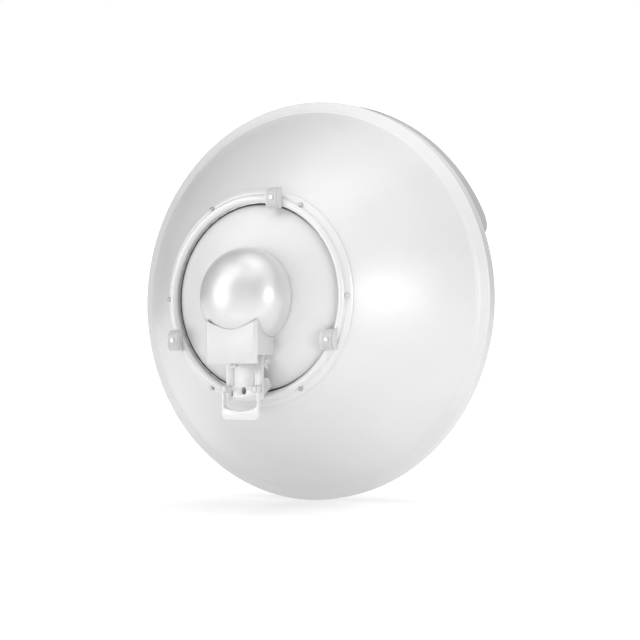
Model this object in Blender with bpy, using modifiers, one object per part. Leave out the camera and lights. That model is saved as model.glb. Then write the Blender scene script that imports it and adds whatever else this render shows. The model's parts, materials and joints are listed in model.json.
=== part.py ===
"""Outdoor wireless bridge: a 650 mm dish with its radio in a domed rear housing.

Blender 4.5, metres, +Z up. Dimensions below are millimetres and the helpers turn them into metres.
The dish looks along -Y, so +Y is the rear. Shapes are set out from the centre of the rim plane.
The frame's origin is the seat on the bracket, where the mast arm is bolted on.
"""

import math

import bmesh
import bpy
from mathutils import Matrix

MM = 0.001

# Reflector
RIM_R = 325.0
FLANGE_INNER_R = 307.6
SKIRT_DEPTH = 18.8
SKIRT_FRONT_R = 324.6
SHEET = 1.2
DISH_VERTEX = 219.4
DISH_FOCAL = 111.6
DISH_INNER_R = 161.8
STEPS = 48

# Brim over the top of the rim
BRIM_HALF_ANGLE = 71.6
BRIM_ROOT_R = 322.2
BRIM_FRONT_R = 326.0
BRIM_ROOT_Y = -4.0
BRIM_FRONT_Y = -39.8
BRIM_ROUND_ANGLE = 6.5
BRIM_SHEET = 1.4
BRIM_COLUMNS = 40

# Hub disc in the middle of the dish
HUB_VERTEX = 187.0
HUB_CURVE = 682.5
HUB_HOLE_R = 26.0
HUB_EDGE_R = 145.0
HUB_SHEET = 1.5
HUB_EDGE_Y = (155.5, 154.3, 149.6)

# Ring that joins the hub disc and the reflector
BEAD_R = 154.5
BEAD_Y = 162.5
BEAD_SECTION_R = 6.2
RING_SCREW_R = 162.4
RING_SCREW_LIFT = 3.2
RING_SCREW_OUT = 1.2
RING_SCREWS = 6
RING_HOLE_R = 2.5
RING_HOLE_DEPTH = 24.0
RING_FLANGE = [(161.4, 163.2), (168.0, 159.3), (170.2, 157.4), (170.8, 155.6)]
RING_UNDER = [(161.4, 161.6), (160.8, 158.4), (156.0, 156.0), (152.3, 151.0), (149.6, 151.0)]
RING_INNER = (149.2, 157.0)
SEAL_OUTER_R = 148.6
SEAL_Y = (150.2, 153.4)
SADDLE_WIDTH = 23.6
SADDLE_HALF = 16.5
SADDLE_BASE_Y = 169.6
SADDLE_SPRING_Y = 172.6
SADDLE_CROWN_Y = 182.6
SADDLE_WALL = 3.0
SADDLE_PLACES = {"top": (158.5, 104.6), "left": (158.5, 335.4), "right": (153.0, 205.6)}
SADDLE_HOLE_R = 2.4
SADDLE_SCREW = {"head_r": 3.4, "head": 2.0, "shank_r": 1.9, "length": 10.0}

# Rear housing
BALL_R = 77.1
BALL_RISE = 58.6
BALL_Y = 190.4
BALL_WALL = 3.0
BALL_FOOT_R = 75.8
BALL_BASE_Y = 179.8
BALL_STEPS = 32
BALL_SPACE = 0.7
BALL_SPACE_Y = 170.0
SEAL_OUTLINE = [(71.6, 184.0), (71.6, 181.0), (69.6, 181.0), (69.6, 184.0)]
CHASSIS_OUTER = [(24.0, 196.0), (24.0, 190.0), (69.0, 190.0), (69.0, 181.0), (66.0, 181.6)]
CHASSIS_INNER = [(66.0, 187.6), (24.6, 187.6), (24.6, 176.0), (14.0, 176.0), (14.0, 196.0)]

# Electronics: boxes by their two corners
BOARD = ((-44, 198.4, -52), (44, 200.0, 42))
SHIELD = ((-24, 200.4, -34), (24, 206.4, 8))
SHIELD_BEVEL = 0.8
TIMING_ANTENNA = ((-10, 200.4, 14), (10, 206.0, 34))
TIMING_BEVEL = 0.5
STANDOFFS = [(-38, -40), (38, -40), (-38, 34), (38, 34)]
STANDOFF_R = 3.0
STANDOFF_LENGTH = 7.6
STANDOFF_Y = 194.2

# Port block, jack and cover
BLOCK_HALF = 30.0
BLOCK_Y = (188.0, 222.0)
BLOCK_TOP = -58.0
BLOCK_BOTTOM = -83.0
POST_HALF = 4.0
POST_Z = (-108.0, -70.0)
JACK_HALF = 8.2
JACK_Y = (200.4, 215.6)
JACK_Z = (-82.6, -60.5)
JACK_MOUTH = ((-6, 203.4, -90), (6, 212.0, -68.5))
JACK_WAY_Z = (-95.0, -50.0)
JACK_WINDOW_GAP = 0.6
BUTTON_X = 18.0
BUTTON_R = 2.5
BUTTON_LENGTH = 11.0
BUTTON_Z = -79.0
BUTTON_GAP = 0.4
LIGHT_R = 1.4
LIGHT_LENGTH = 10.0
LIGHT_Z = -78.6
PORT_HOLE = 23.0
PORT_Y = 208.0
EARTH_Y = 206.0
EARTH_Z = -77.0
EARTH_HOLE_R = 1.9
EARTH_SCREW = {"head_r": 3.2, "head": 2.0, "shank_r": 1.5, "length": 4.0}
BLIND_HOLE = 9.0
COVER_HALF = 46.6
COVER_REAR_Y = 235.5
COVER_FRONT_Y = 184.0
COVER_CORNER_R = 6.0
COVER_WALL = 2.4
COVER_BOTTOM = -102.6
COVER_SIDE_BOTTOM = -89.8
COVER_TIP_Z = -35.2
COVER_DIP_Z = -48.6
COVER_SCREW_Z = -104.4
TAB_HALF = 5.0
TAB_REAR_Y = 230.5
TAB_RISE = 3.2
TAB_DROP = 6.0
TAB_HOLE_R = 1.9
COVER_LIP = 5.0
WEB_BASE = 0.8
COVER_HOLE_R = 1.8
COVER_SCREW = {"head_r": 2.3, "head": 1.4, "shank_r": 1.3, "length": 6.5}
POST_Y = 217.0

# Bracket, tilt joint and bail
SEAT_Y = 197.5
SEAT_Z = -120.0
PIVOT_Y = 184.0
PIVOT_Z = -98.0
BRACKET_HALF = 33.0
BRACKET_REAR_Y = 196.0
BRACKET_PLATE = 4.0
BRACKET_TOP = -90.0
BRACKET_BOTTOM = -159.5
BRACKET_CORNER = 6.0
CHEEK = 3.0
FOOT_R = 11.4
CHEEK_NOTCH = [(193.5, -111.5), (193.5, -124.5), (177.5, -125.3), (169.2, -137.5)]
CHEEK_BOTTOM = -154.5
OVERLAP = 0.05
STRIP_HALF = 17.2
STRIP_BOTTOM = -136.6
SEAT_SHOULDER = 2.0
SEAT_HALF = 26.4
SEAT_BOTTOM = -156.6
MAST_HOLE_Z = (-143.0, -146.2)
MAST_HOLE_R = 4.2
MAST_NUT = ((7.0, 4.2), (185.6, 191.6))
KEY_HOLE = (1.6, -19.9, -145.3)
SLOT = ((20.1, 180, -153.8), (23.1, 200, -143.8))
THROUGH = 90.0
TILT_HOLE_R = 3.2
TILT_BOLT = {"head_r": 4.6, "head": 1.6, "shank_r": 2.8, "length": 13.0}
TILT_NUT = ((5.6, 3.7), 2.0)
BAIL_HOLE_R = 2.3
BAIL_PIN = {"head_r": 3.2, "head": 1.0, "shank_r": 2.0, "length": 9.0}
EAR_X = 27.3
EAR_R = 6.0
EAR_WIDTH = 4.0
YOKE_EAR_X = 27.9
YOKE_EAR_WIDTH = 3.0
YOKE_EAR_R = 6.0
YOKE_EAR_ROOT = [(176.0, -111.0), (176.0, -96.6)]
YOKE_Y = (174.1, 177.4)
YOKE_Z = (-112.0, -96.0)
TILT_NUT_X = 23.9
BAIL_Y = 205.2
BAIL_Z = -141.5
BAIL_HALF = 33.2
BAIL_ARM = 3.4
BAIL_DEPTH = 7.0
BAIL_TOP = 5.0
BAIL_CORNER = 8.0
BAIL_BOTTOM = -189.6
BAIL_GRIP_Z = -171.0
BAIL_GRIP_DIP = 4.6
BAIL_SHOULDER = 4.0
BAIL_EDGE = 1.0

# Feed: outlines in radius and distance to the rear
GUIDE_R = 13.0
GUIDE_WALL = 2.0
GUIDE_Y = (126.0, 195.6)
TUBE_OUTER = [(36.0, 182.4), (36.0, 179.4), (28.6, 178.0), (24.0, 119.0)]
TUBE_INNER = [(21.5, 119.0), (25.6, 175.0), (25.6, 182.4)]
SUB_REFLECTOR = [(0, 112.0), (30.0, 100.6), (34.0, 100.0), (34.0, 97.4), (0, 97.4)]
CAP_SIDE = [(26.2, 118.0), (36.4, 108.6), (38.5, 104.0), (38.5, 97.2)]
CAP_FRONT = [(35.9, 93.6), (29.0, 92.4), (0, 92.0)]
CAP_WALL = 1.5
FEED_STEPS = 24

# Small gap between fixed pieces that meet
GAP = 0.4

# Screw heads: shares of the head's height and radius
SCREW_SIDES = 10
RECESS_DEPTH = 0.45
RECESS_R = 0.42
CROWN_R = 0.75
CROWN_BASE = 0.55

MATERIALS = {
    "white_sheet": ((0.86, 0.86, 0.87), 0.34, 0.0),
    "white_plastic": ((0.88, 0.88, 0.88), 0.32, 0.0),
    "white_casting": ((0.84, 0.84, 0.85), 0.42, 0.0),
    "grey_polymer": ((0.55, 0.55, 0.56), 0.50, 0.0),
    "black_rubber": ((0.04, 0.04, 0.04), 0.75, 0.0),
    "steel": ((0.35, 0.35, 0.36), 0.35, 1.0),
    "aluminium": ((0.72, 0.72, 0.74), 0.38, 1.0),
    "board_green": ((0.03, 0.18, 0.08), 0.45, 0.0),
    "ceramic": ((0.75, 0.68, 0.55), 0.60, 0.0),
    "jack_black": ((0.03, 0.03, 0.03), 0.45, 0.0),
    "lens_clear": ((0.75, 0.85, 0.90), 0.10, 0.0),
}


def dish_y(r):
    """Height of the reflector's rear face at radius r."""
    return DISH_VERTEX - r * r / (4 * DISH_FOCAL)


def hub_y(r):
    """Height of the hub disc's rear face at radius r."""
    return HUB_VERTEX - r * r / HUB_CURVE


def spread(start, end, count):
    """count values evenly spaced from start to end."""
    return [start + (end - start) * i / (count - 1) for i in range(count)]


def arc(centre, radius, start, end, count):
    """Points on an arc; the angles are degrees from the first axis towards the second."""
    angles = [math.radians(a) for a in spread(start, end, count)]
    return [(centre[0] + radius * math.cos(a), centre[1] + radius * math.sin(a)) for a in angles]


# ---------------------------------------------------------------- scene and helpers


def clear_scene():
    for obj in list(bpy.data.objects):
        bpy.data.objects.remove(obj, do_unlink=True)


def new_collection(name):
    collection = bpy.data.collections.new(name)
    bpy.context.scene.collection.children.link(collection)
    return collection


def make_materials():
    made = {}
    for name, (colour, roughness, metallic) in MATERIALS.items():
        material = bpy.data.materials.new(name)
        material.use_nodes = True
        shader = material.node_tree.nodes["Principled BSDF"]
        shader.inputs["Base Color"].default_value = (*colour, 1.0)
        shader.inputs["Roughness"].default_value = roughness
        shader.inputs["Metallic"].default_value = metallic
        made[name] = material
    return made


clear_scene()
PARTS = new_collection("wireless_bridge")
CUTTERS = new_collection("cutters")
MATERIAL = make_materials()


def metres(values):
    return tuple(v * MM for v in values)


def empty(name, at, parent=None):
    obj = bpy.data.objects.new(name, None)
    obj.empty_display_size = 0.02
    obj.location = metres(at)
    obj.parent = parent
    PARTS.objects.link(obj)
    return obj


SEAT = empty("mast_seat", (0, -SEAT_Y, -SEAT_Z))
TILT = empty("tilt_axis", (0, PIVOT_Y, PIVOT_Z), SEAT)
DISH = empty("rim_centre", (0, -PIVOT_Y, -PIVOT_Z), TILT)


def add(name, mesh, material, parent, at=(0, 0, 0), turn=(0, 0, 0)):
    """A new object in the part, or a cutter where material is None."""
    obj = bpy.data.objects.new(name, mesh)
    obj.location = metres(at)
    obj.rotation_euler = [math.radians(a) for a in turn]
    obj.parent = parent
    if material is None:
        CUTTERS.objects.link(obj)
        obj.hide_render = True
        obj.display_type = "WIRE"
    else:
        PARTS.objects.link(obj)
        mesh.materials.append(MATERIAL[material])
    return obj


def finish_mesh(name, bm, smooth_angle=35):
    mesh = bpy.data.meshes.new(name)
    bm.normal_update()
    bm.to_mesh(mesh)
    bm.free()
    if smooth_angle:
        mesh.shade_smooth()
        mesh.set_sharp_from_angle(angle=math.radians(smooth_angle))
    return mesh


def box(name, low, high, material, parent, bevel=0.0):
    """A box between two corners, with rounded edges if bevel is given."""
    bm = bmesh.new()
    bmesh.ops.create_cube(bm, size=1.0)
    size = [(b - a) * MM for a, b in zip(low, high)]
    bmesh.ops.scale(bm, vec=size, verts=bm.verts)
    centre = [(a + b) / 2 for a, b in zip(low, high)]
    obj = add(name, finish_mesh(name, bm, 0), material, parent, centre)
    if bevel:
        round_edges(obj, bevel)
    return obj


def round_edges(obj, width, segments=2):
    modifier = obj.modifiers.new("round", "BEVEL")
    modifier.width = width * MM
    modifier.segments = segments
    modifier.limit_method = "ANGLE"
    modifier.angle_limit = math.radians(40)


AXIS_TURN = {"X": (0, 90, 0), "Y": (-90, 0, 0), "Z": (0, 0, 0)}


def rod(name, radius, length, centre, axis, material, parent, sides=16):
    """A cylinder with its middle at centre."""
    bm = bmesh.new()
    bmesh.ops.create_cone(
        bm, cap_ends=True, segments=sides, radius1=radius * MM, radius2=radius * MM, depth=length * MM
    )
    return add(name, finish_mesh(name, bm), material, parent, centre, AXIS_TURN[axis])


def turned(name, outline, material, parent, steps=STEPS, at=(0, 0, 0), turn=(-90, 0, 0), wall=0.0):
    """A turned shape: (radius, height) points run down the outer side; height points to the rear.

    With a wall it is an open surface made thick inwards. Without one, an outline that starts and
    ends on the axis is solid, and any other is closed into a ring.
    """
    bm = bmesh.new()
    points = [bm.verts.new((r * MM, 0, h * MM)) for r, h in outline]
    for a, b in zip(points, points[1:]):
        bm.edges.new((a, b))
    on_axis = outline[0][0] == 0 and outline[-1][0] == 0
    if not wall and not on_axis:
        bm.edges.new((points[-1], points[0]))
    obj = add(name, finish_mesh(name, bm, 0), material, parent, at, turn)
    screw = obj.modifiers.new("turn", "SCREW")
    screw.axis = "Z"
    screw.steps = steps
    screw.render_steps = steps
    screw.use_merge_vertices = True
    screw.merge_threshold = 0.00005
    screw.use_smooth_shade = False
    if wall:
        thicken(obj, wall)
    return obj


def thicken(obj, wall):
    solidify = obj.modifiers.new("wall", "SOLIDIFY")
    solidify.thickness = wall * MM
    solidify.offset = -1
    solidify.use_even_offset = True
    return solidify


PLANE_TURN = {"YZ": (90, 0, 90), "XZ": (90, 0, 0), "XY": (0, 0, 0)}


def plate(name, outline, thickness, at, plane, material, parent):
    """A flat outline given thickness; at is the middle of it, and the outline is in that plane."""
    curve = bpy.data.curves.new(name, "CURVE")
    curve.dimensions = "2D"
    curve.fill_mode = "BOTH"
    curve.extrude = thickness / 2 * MM
    spline = curve.splines.new("POLY")
    spline.points.add(len(outline) - 1)
    for point, (u, v) in zip(spline.points, outline):
        point.co = (u * MM, v * MM, 0, 1)
    spline.use_cyclic_u = True
    source = bpy.data.objects.new(name + "_outline", curve)
    CUTTERS.objects.link(source)
    graph = bpy.context.evaluated_depsgraph_get()
    mesh = bpy.data.meshes.new_from_object(source.evaluated_get(graph))
    mesh.name = name
    mesh.materials.clear()
    bpy.data.objects.remove(source, do_unlink=True)
    bm = bmesh.new()
    bm.from_mesh(mesh)
    bmesh.ops.remove_doubles(bm, verts=bm.verts, dist=0.00001)
    bmesh.ops.recalc_face_normals(bm, faces=bm.faces)
    bm.to_mesh(mesh)
    bm.free()
    return add(name, mesh, material, parent, at, PLANE_TURN[plane])


def boolean(target, tool, operation):
    modifier = target.modifiers.new(tool.name, "BOOLEAN")
    modifier.operation = operation
    modifier.object = tool
    modifier.solver = "EXACT"


def cut(target, *tools):
    for tool in tools:
        boolean(target, tool, "DIFFERENCE")


def join(target, *tools):
    for tool in tools:
        boolean(target, tool, "UNION")


def merged_tool(name, tools):
    """One cutter made from several that don't touch each other."""
    bm = bmesh.new()
    for tool in tools:
        tool.data.transform(tool.matrix_basis)
        bm.from_mesh(tool.data)
        bpy.data.objects.remove(tool, do_unlink=True)
    return add(name, finish_mesh(name, bm, 0), None, DISH)


def on_ring(radius, angle, y):
    """A place at an angle in degrees from +X towards +Z."""
    a = math.radians(angle)
    return (radius * math.cos(a), y, radius * math.sin(a))


# ---------------------------------------------------------------- reflector


def outer_reflector():
    """Stamped outer dish, with a flat rim band and a skirt turned forward."""
    bowl = [(r, dish_y(r)) for r in spread(DISH_INNER_R, FLANGE_INNER_R, 8)]
    rim = [(RIM_R - 0.8, 0.3), (RIM_R, -0.8), (SKIRT_FRONT_R, -SKIRT_DEPTH)]
    return turned("outer_reflector", bowl + rim, "white_sheet", DISH, wall=SHEET)


def brim_front(angle):
    """How far forward the brim reaches at an angle from its middle; its ends are rounded."""
    inside = (BRIM_HALF_ANGLE - abs(angle)) / BRIM_ROUND_ANGLE
    share = math.sqrt(1 - (1 - min(inside, 1)) ** 2)
    return -SKIRT_DEPTH + (BRIM_FRONT_Y + SKIRT_DEPTH) * share


def rain_brim():
    """Curved brim inside the skirt, over the top of the dish."""
    bm = bmesh.new()
    bmesh.ops.create_grid(bm, x_segments=BRIM_COLUMNS, y_segments=2, size=1.0)
    for vert in bm.verts:
        angle = BRIM_HALF_ANGLE * math.sin(vert.co.x * math.pi / 2)
        front = brim_front(angle)
        if vert.co.y < -0.5:
            r, y = BRIM_ROOT_R, BRIM_ROOT_Y
        elif vert.co.y < 0.5:
            r, y = BRIM_ROOT_R, -SKIRT_DEPTH + 1.0
        else:
            share = (front + SKIRT_DEPTH) / (BRIM_FRONT_Y + SKIRT_DEPTH)
            r, y = BRIM_ROOT_R + (BRIM_FRONT_R - BRIM_ROOT_R) * share, front
        a = math.radians(angle)
        vert.co = metres((r * math.sin(a), y, r * math.cos(a)))
    bmesh.ops.recalc_face_normals(bm, faces=bm.faces)
    if sum(f.normal.z for f in bm.faces) < 0:
        bmesh.ops.reverse_faces(bm, faces=bm.faces)
    obj = add("rain_brim", finish_mesh("rain_brim", bm), "white_sheet", DISH)
    thicken(obj, BRIM_SHEET)


def hub_disc():
    """Shallow disc that carries the radio, its edge turned forward."""
    face = [(r, hub_y(r)) for r in spread(HUB_HOLE_R, HUB_EDGE_R - 1.5, 5)]
    shoulder, corner, lip = HUB_EDGE_Y
    edge = [(HUB_EDGE_R - 0.4, shoulder), (HUB_EDGE_R, corner), (HUB_EDGE_R, lip)]
    turned("hub_disc", face + edge, "white_sheet", DISH, wall=HUB_SHEET)


def ring_frame():
    """Ring with a rolled bead and a flange that laps the reflector's inner edge."""
    bead_out = arc((BEAD_R, BEAD_Y), BEAD_SECTION_R, 75, 15, 3)
    bead_in = [RING_INNER] + arc((BEAD_R, BEAD_Y), BEAD_SECTION_R, 195, 105, 4)
    outline = bead_out + RING_FLANGE + RING_UNDER + bead_in
    return turned("ring_frame", outline, "white_casting", DISH)


def ring_gasket():
    """Black seal in the gap between the hub disc and the ring."""
    inner, (front, rear) = HUB_EDGE_R + GAP, SEAL_Y
    outline = [(SEAL_OUTER_R, rear), (SEAL_OUTER_R, front), (inner, front), (inner, rear)]
    turned("ring_gasket", outline, "black_rubber", DISH)


def pan_screw(
    name, at, turn, parent, head_r=3.6, head=2.4, shank_r=2.0, length=7.0, material="steel"
):
    """A pan-head screw; its head's underside is at the given place."""
    outline = [(0, head * (1 - RECESS_DEPTH)), (head_r * RECESS_R, head), (head_r * CROWN_R, head)]
    outline += [(head_r, head * CROWN_BASE), (head_r, 0), (shank_r, 0)]
    outline += [(shank_r, -length), (0, -length)]
    return turned(name, outline, material, parent, SCREW_SIDES, at, turn)


def ring_screws(ring, reflector):
    """Screws square to the flange, and their holes through the flange and the reflector."""
    lean = math.degrees(math.atan(RING_SCREW_R / (2 * DISH_FOCAL)))
    top = dish_y(RING_SCREW_R) + RING_SCREW_LIFT
    holes = []
    for i in range(RING_SCREWS):
        angle = 360 / RING_SCREWS * i
        place = on_ring(RING_SCREW_R + RING_SCREW_OUT, angle, top)
        euler = ring_turn(angle, lean)
        screw = pan_screw(f"ring_screw_{i + 1}", place, (0, 0, 0), DISH)
        screw.rotation_euler = euler
        hole = rod(f"ring_hole_{i + 1}", RING_HOLE_R, RING_HOLE_DEPTH, place, "Z", None, DISH, 12)
        hole.rotation_euler = euler
        holes.append(hole)
    tool = merged_tool("ring_holes", holes)
    cut(ring, tool)
    cut(reflector, tool)


def ring_turn(angle, lean):
    """Rotation that takes +Z to the rear, leaned outwards at an angle around the dish's axis."""
    rear = Matrix.Rotation(math.radians(-90), 3, "X")
    tip = Matrix.Rotation(math.radians(lean), 3, "Z")
    around = Matrix.Rotation(math.radians(-angle), 3, "Y")
    return (around @ tip.inverted() @ rear).to_euler()


def saddle_section(shrink, base):
    """Half-round section with straight legs, made smaller all round by shrink."""
    half, rise = SADDLE_HALF - shrink, SADDLE_CROWN_Y - SADDLE_SPRING_Y - shrink
    radius = (half * half + rise * rise) / (2 * rise)
    sweep = math.degrees(math.asin(half / radius))
    crown = arc((SADDLE_SPRING_Y + rise - radius, 0), radius, sweep, -sweep, 11)
    return crown + [(base, -half), (base, half)]


def ring_saddles():
    """Three half-round saddles that sit over the bead, each held by one screw."""
    for side, (radius, angle) in SADDLE_PLACES.items():
        x, _, z = on_ring(radius, angle, 0)
        shape = saddle_section(0, SADDLE_BASE_Y)
        name = f"ring_saddle_{side}"
        saddle = plate(name, shape, SADDLE_WIDTH, (x, 0, z), "YZ", "grey_polymer", DISH)
        inner = saddle_section(SADDLE_WALL, SADDLE_BASE_Y - 1.0)
        width = SADDLE_WIDTH - 2 * SADDLE_WALL
        hollow = plate(f"saddle_hollow_{side}", inner, width, (x, 0, z), "YZ", None, DISH)
        crown = (x, SADDLE_CROWN_Y, z)
        hole = rod(f"saddle_hole_{side}", SADDLE_HOLE_R, 30, crown, "Y", None, DISH)
        cut(saddle, hollow, hole)
        screw_at = (x, SADDLE_CROWN_Y + GAP, z)
        pan_screw(f"saddle_screw_{side}", screw_at, (-90, 0, 0), DISH, **SADDLE_SCREW)


# ---------------------------------------------------------------- radio housing


def ball_outline(grow=0.0):
    """The housing's outer outline from its pole down to its equator."""
    angles = [math.radians(a) for a in spread(90, 0, 9)]
    a, b = BALL_R + grow, BALL_RISE + grow
    points = [(a * math.cos(t), BALL_Y + b * math.sin(t)) for t in angles]
    return [(0, points[0][1])] + points[1:]


def ball_space(name):
    """Cutter for the room the housing takes, with a small gap round it."""
    outline = ball_outline(BALL_SPACE) + [(BALL_R + BALL_SPACE, BALL_SPACE_Y), (0, BALL_SPACE_Y)]
    return turned(name, outline, None, DISH, BALL_STEPS)


def jack_way(name, gap):
    """Cutter for the room the jack takes and the way up to it."""
    low = (-JACK_HALF - gap, JACK_Y[0] - gap, JACK_WAY_Z[0])
    return box(name, low, (JACK_HALF + gap, JACK_Y[1] + gap, JACK_WAY_Z[1]), None, DISH)


def rear_housing():
    """Domed plastic shell over the radio."""
    foot = [(BALL_R - 0.3, BALL_BASE_Y + 5.0), (BALL_FOOT_R, BALL_BASE_Y)]
    shell = turned(
        "rear_housing", ball_outline() + foot, "white_plastic", DISH, BALL_STEPS, wall=BALL_WALL
    )
    cut(shell, jack_way("jack_window", JACK_WINDOW_GAP))


def housing_seal():
    turned("housing_seal", SEAL_OUTLINE, "black_rubber", DISH, BALL_STEPS)


def radio_chassis():
    """Cast plate behind the hub disc, with a boss through it that holds the feed."""
    turned("radio_chassis", CHASSIS_OUTER + CHASSIS_INNER, "aluminium", DISH, BALL_STEPS)


def electronics():
    """Main board on four standoffs, with its shield can and its satellite-timing antenna."""
    box("main_board", *BOARD, "board_green", DISH)
    for index, (x, z) in enumerate(STANDOFFS, 1):
        name = f"board_standoff_{index}"
        at = (x, STANDOFF_Y, z)
        rod(name, STANDOFF_R, STANDOFF_LENGTH, at, "Y", "aluminium", DISH, 12)
    box("radio_shield", *SHIELD, "aluminium", DISH, SHIELD_BEVEL)
    box("gps_antenna", *TIMING_ANTENNA, "ceramic", DISH, TIMING_BEVEL)


def port_block():
    """Block under the housing that holds the jack, the button and the light."""
    low = (-BLOCK_HALF, BLOCK_Y[0], BLOCK_BOTTOM)
    block = box("port_block", low, (BLOCK_HALF, BLOCK_Y[1], BLOCK_TOP), "white_plastic", DISH)
    rear = TAB_REAR_Y - COVER_WALL - GAP
    bottom, top = POST_Z
    post = box("block_post", (-POST_HALF, POST_Y, bottom), (POST_HALF, rear, top), None, DISH)
    join(block, post)
    under = (BUTTON_X, PORT_Y, BLOCK_BOTTOM)
    button = rod("button_hole", BUTTON_R + BUTTON_GAP, PORT_HOLE, under, "Z", None, DISH)
    under = (-BUTTON_X, PORT_Y, BLOCK_BOTTOM)
    light = rod("light_hole", LIGHT_R + BUTTON_GAP, PORT_HOLE, under, "Z", None, DISH)
    at = (0, rear, COVER_SCREW_Z)
    screw = rod("cover_screw_hole", COVER_HOLE_R, BLIND_HOLE, at, "Y", None, DISH)
    at = (BLOCK_HALF, EARTH_Y, EARTH_Z)
    earth = rod("earth_hole", EARTH_HOLE_R, BLIND_HOLE, at, "X", None, DISH)
    cut(block, ball_space("ball_clearance"), jack_way("jack_pocket", GAP))
    cut(block, button, light, screw, earth)
    at = (-BUTTON_X, PORT_Y, LIGHT_Z)
    rod("status_light", LIGHT_R, LIGHT_LENGTH, at, "Z", "lens_clear", DISH, 12)
    at = (BLOCK_HALF + GAP, EARTH_Y, EARTH_Z)
    pan_screw("ground_screw", at, (0, 90, 0), DISH, **EARTH_SCREW)


def ethernet_jack():
    low = (-JACK_HALF, JACK_Y[0], JACK_Z[0])
    jack = box("ethernet_jack", low, (JACK_HALF, JACK_Y[1], JACK_Z[1]), "jack_black", DISH)
    cut(jack, box("jack_mouth", *JACK_MOUTH, None, DISH))


def reset_button():
    at = (BUTTON_X, PORT_Y, BUTTON_Z)
    rod("reset_button", BUTTON_R, BUTTON_LENGTH, at, "Z", "grey_polymer", DISH)


def cover_channel():
    """The cover seen from above: a rear wall and two side walls with round corners between."""
    outer = []
    inner = []
    rear = COVER_REAR_Y - COVER_CORNER_R
    for side, start, end in ((1, 0, 90), (-1, 90, 180)):
        centre = (side * (COVER_HALF - COVER_CORNER_R), rear)
        outer += arc(centre, COVER_CORNER_R, start, end, 5)
        inner += arc(centre, COVER_CORNER_R - COVER_WALL, start, end, 5)
    half = COVER_HALF - COVER_WALL
    outline = [(COVER_HALF, COVER_FRONT_Y)] + outer + [(-COVER_HALF, COVER_FRONT_Y)]
    return outline + [(-half, COVER_FRONT_Y)] + inner[::-1] + [(half, COVER_FRONT_Y)]


def port_cover():
    """Three-sided cover over the block, pulled off to the rear."""
    height = COVER_TIP_Z - COVER_BOTTOM
    middle = (COVER_TIP_Z + COVER_BOTTOM) / 2
    cover = plate(
        "port_cover", cover_channel(), height, (0, 0, middle), "XY", "white_plastic", DISH
    )
    low = (-2 * COVER_HALF, 0, 2 * COVER_BOTTOM)
    high = (2 * COVER_HALF, COVER_REAR_Y - COVER_LIP, COVER_SIDE_BOTTOM)
    below = box("cover_below", low, high, None, DISH)
    dip = COVER_TIP_Z - COVER_DIP_Z
    radius = (COVER_HALF * COVER_HALF + dip * dip) / (2 * dip)
    at = (0, COVER_REAR_Y, COVER_DIP_Z + radius)
    scoop = rod("cover_scoop", radius, THROUGH, at, "Y", None, DISH, 96)
    cut(cover, below, scoop, ball_space("ball_swing"))
    front = TAB_REAR_Y - COVER_WALL
    top = COVER_BOTTOM + TAB_RISE
    low = (-TAB_HALF, front, COVER_BOTTOM - TAB_DROP)
    tab = box("cover_tab", low, (TAB_HALF, TAB_REAR_Y, top), None, DISH)
    low = (-TAB_HALF, front, COVER_BOTTOM + WEB_BASE)
    web = box("cover_web", low, (TAB_HALF, COVER_REAR_Y - 1.0, top), None, DISH)
    at = (0, TAB_REAR_Y, COVER_SCREW_Z)
    hole = rod("cover_tab_hole", TAB_HOLE_R, 16.0, at, "Y", None, DISH)
    join(cover, tab, web)
    cut(cover, hole)
    at = (0, TAB_REAR_Y + GAP, COVER_SCREW_Z)
    pan_screw("cover_screw", at, (-90, 0, 0), DISH, **COVER_SCREW)


# ---------------------------------------------------------------- feed


def feed():
    """Waveguide from the radio to the focus, the small reflector there, and their plastic covers."""
    front, rear = GUIDE_Y
    inner = GUIDE_R - GUIDE_WALL
    guide = [(GUIDE_R, rear), (GUIDE_R, front), (inner, front), (inner, rear)]
    turned("feed_waveguide", guide, "aluminium", DISH, FEED_STEPS)
    turned("feed_tube", TUBE_OUTER + TUBE_INNER, "white_plastic", DISH, FEED_STEPS)
    turned("sub_reflector", SUB_REFLECTOR, "aluminium", DISH, FEED_STEPS)
    turned("feed_cap", CAP_SIDE + CAP_FRONT, "white_plastic", DISH, FEED_STEPS, wall=CAP_WALL)


# ---------------------------------------------------------------- bracket and bail


def cheek_outline():
    """Side of the bracket: an upper foot round the pivot, a notch, and a lower foot."""
    upper = arc((PIVOT_Y, PIVOT_Z), FOOT_R, 132, 200, 5)
    rear = BRACKET_REAR_Y - GAP
    return upper + CHEEK_NOTCH + [(rear, CHEEK_BOTTOM), (rear, BRACKET_TOP)]


def ear_outline():
    """Ear on the bracket's rear face that carries the bail."""
    root = BRACKET_REAR_Y - 3.0
    return arc((BAIL_Y, BAIL_Z), EAR_R, 90, -90, 7) + [(root, BAIL_Z - EAR_R), (root, BAIL_Z + EAR_R)]


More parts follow.
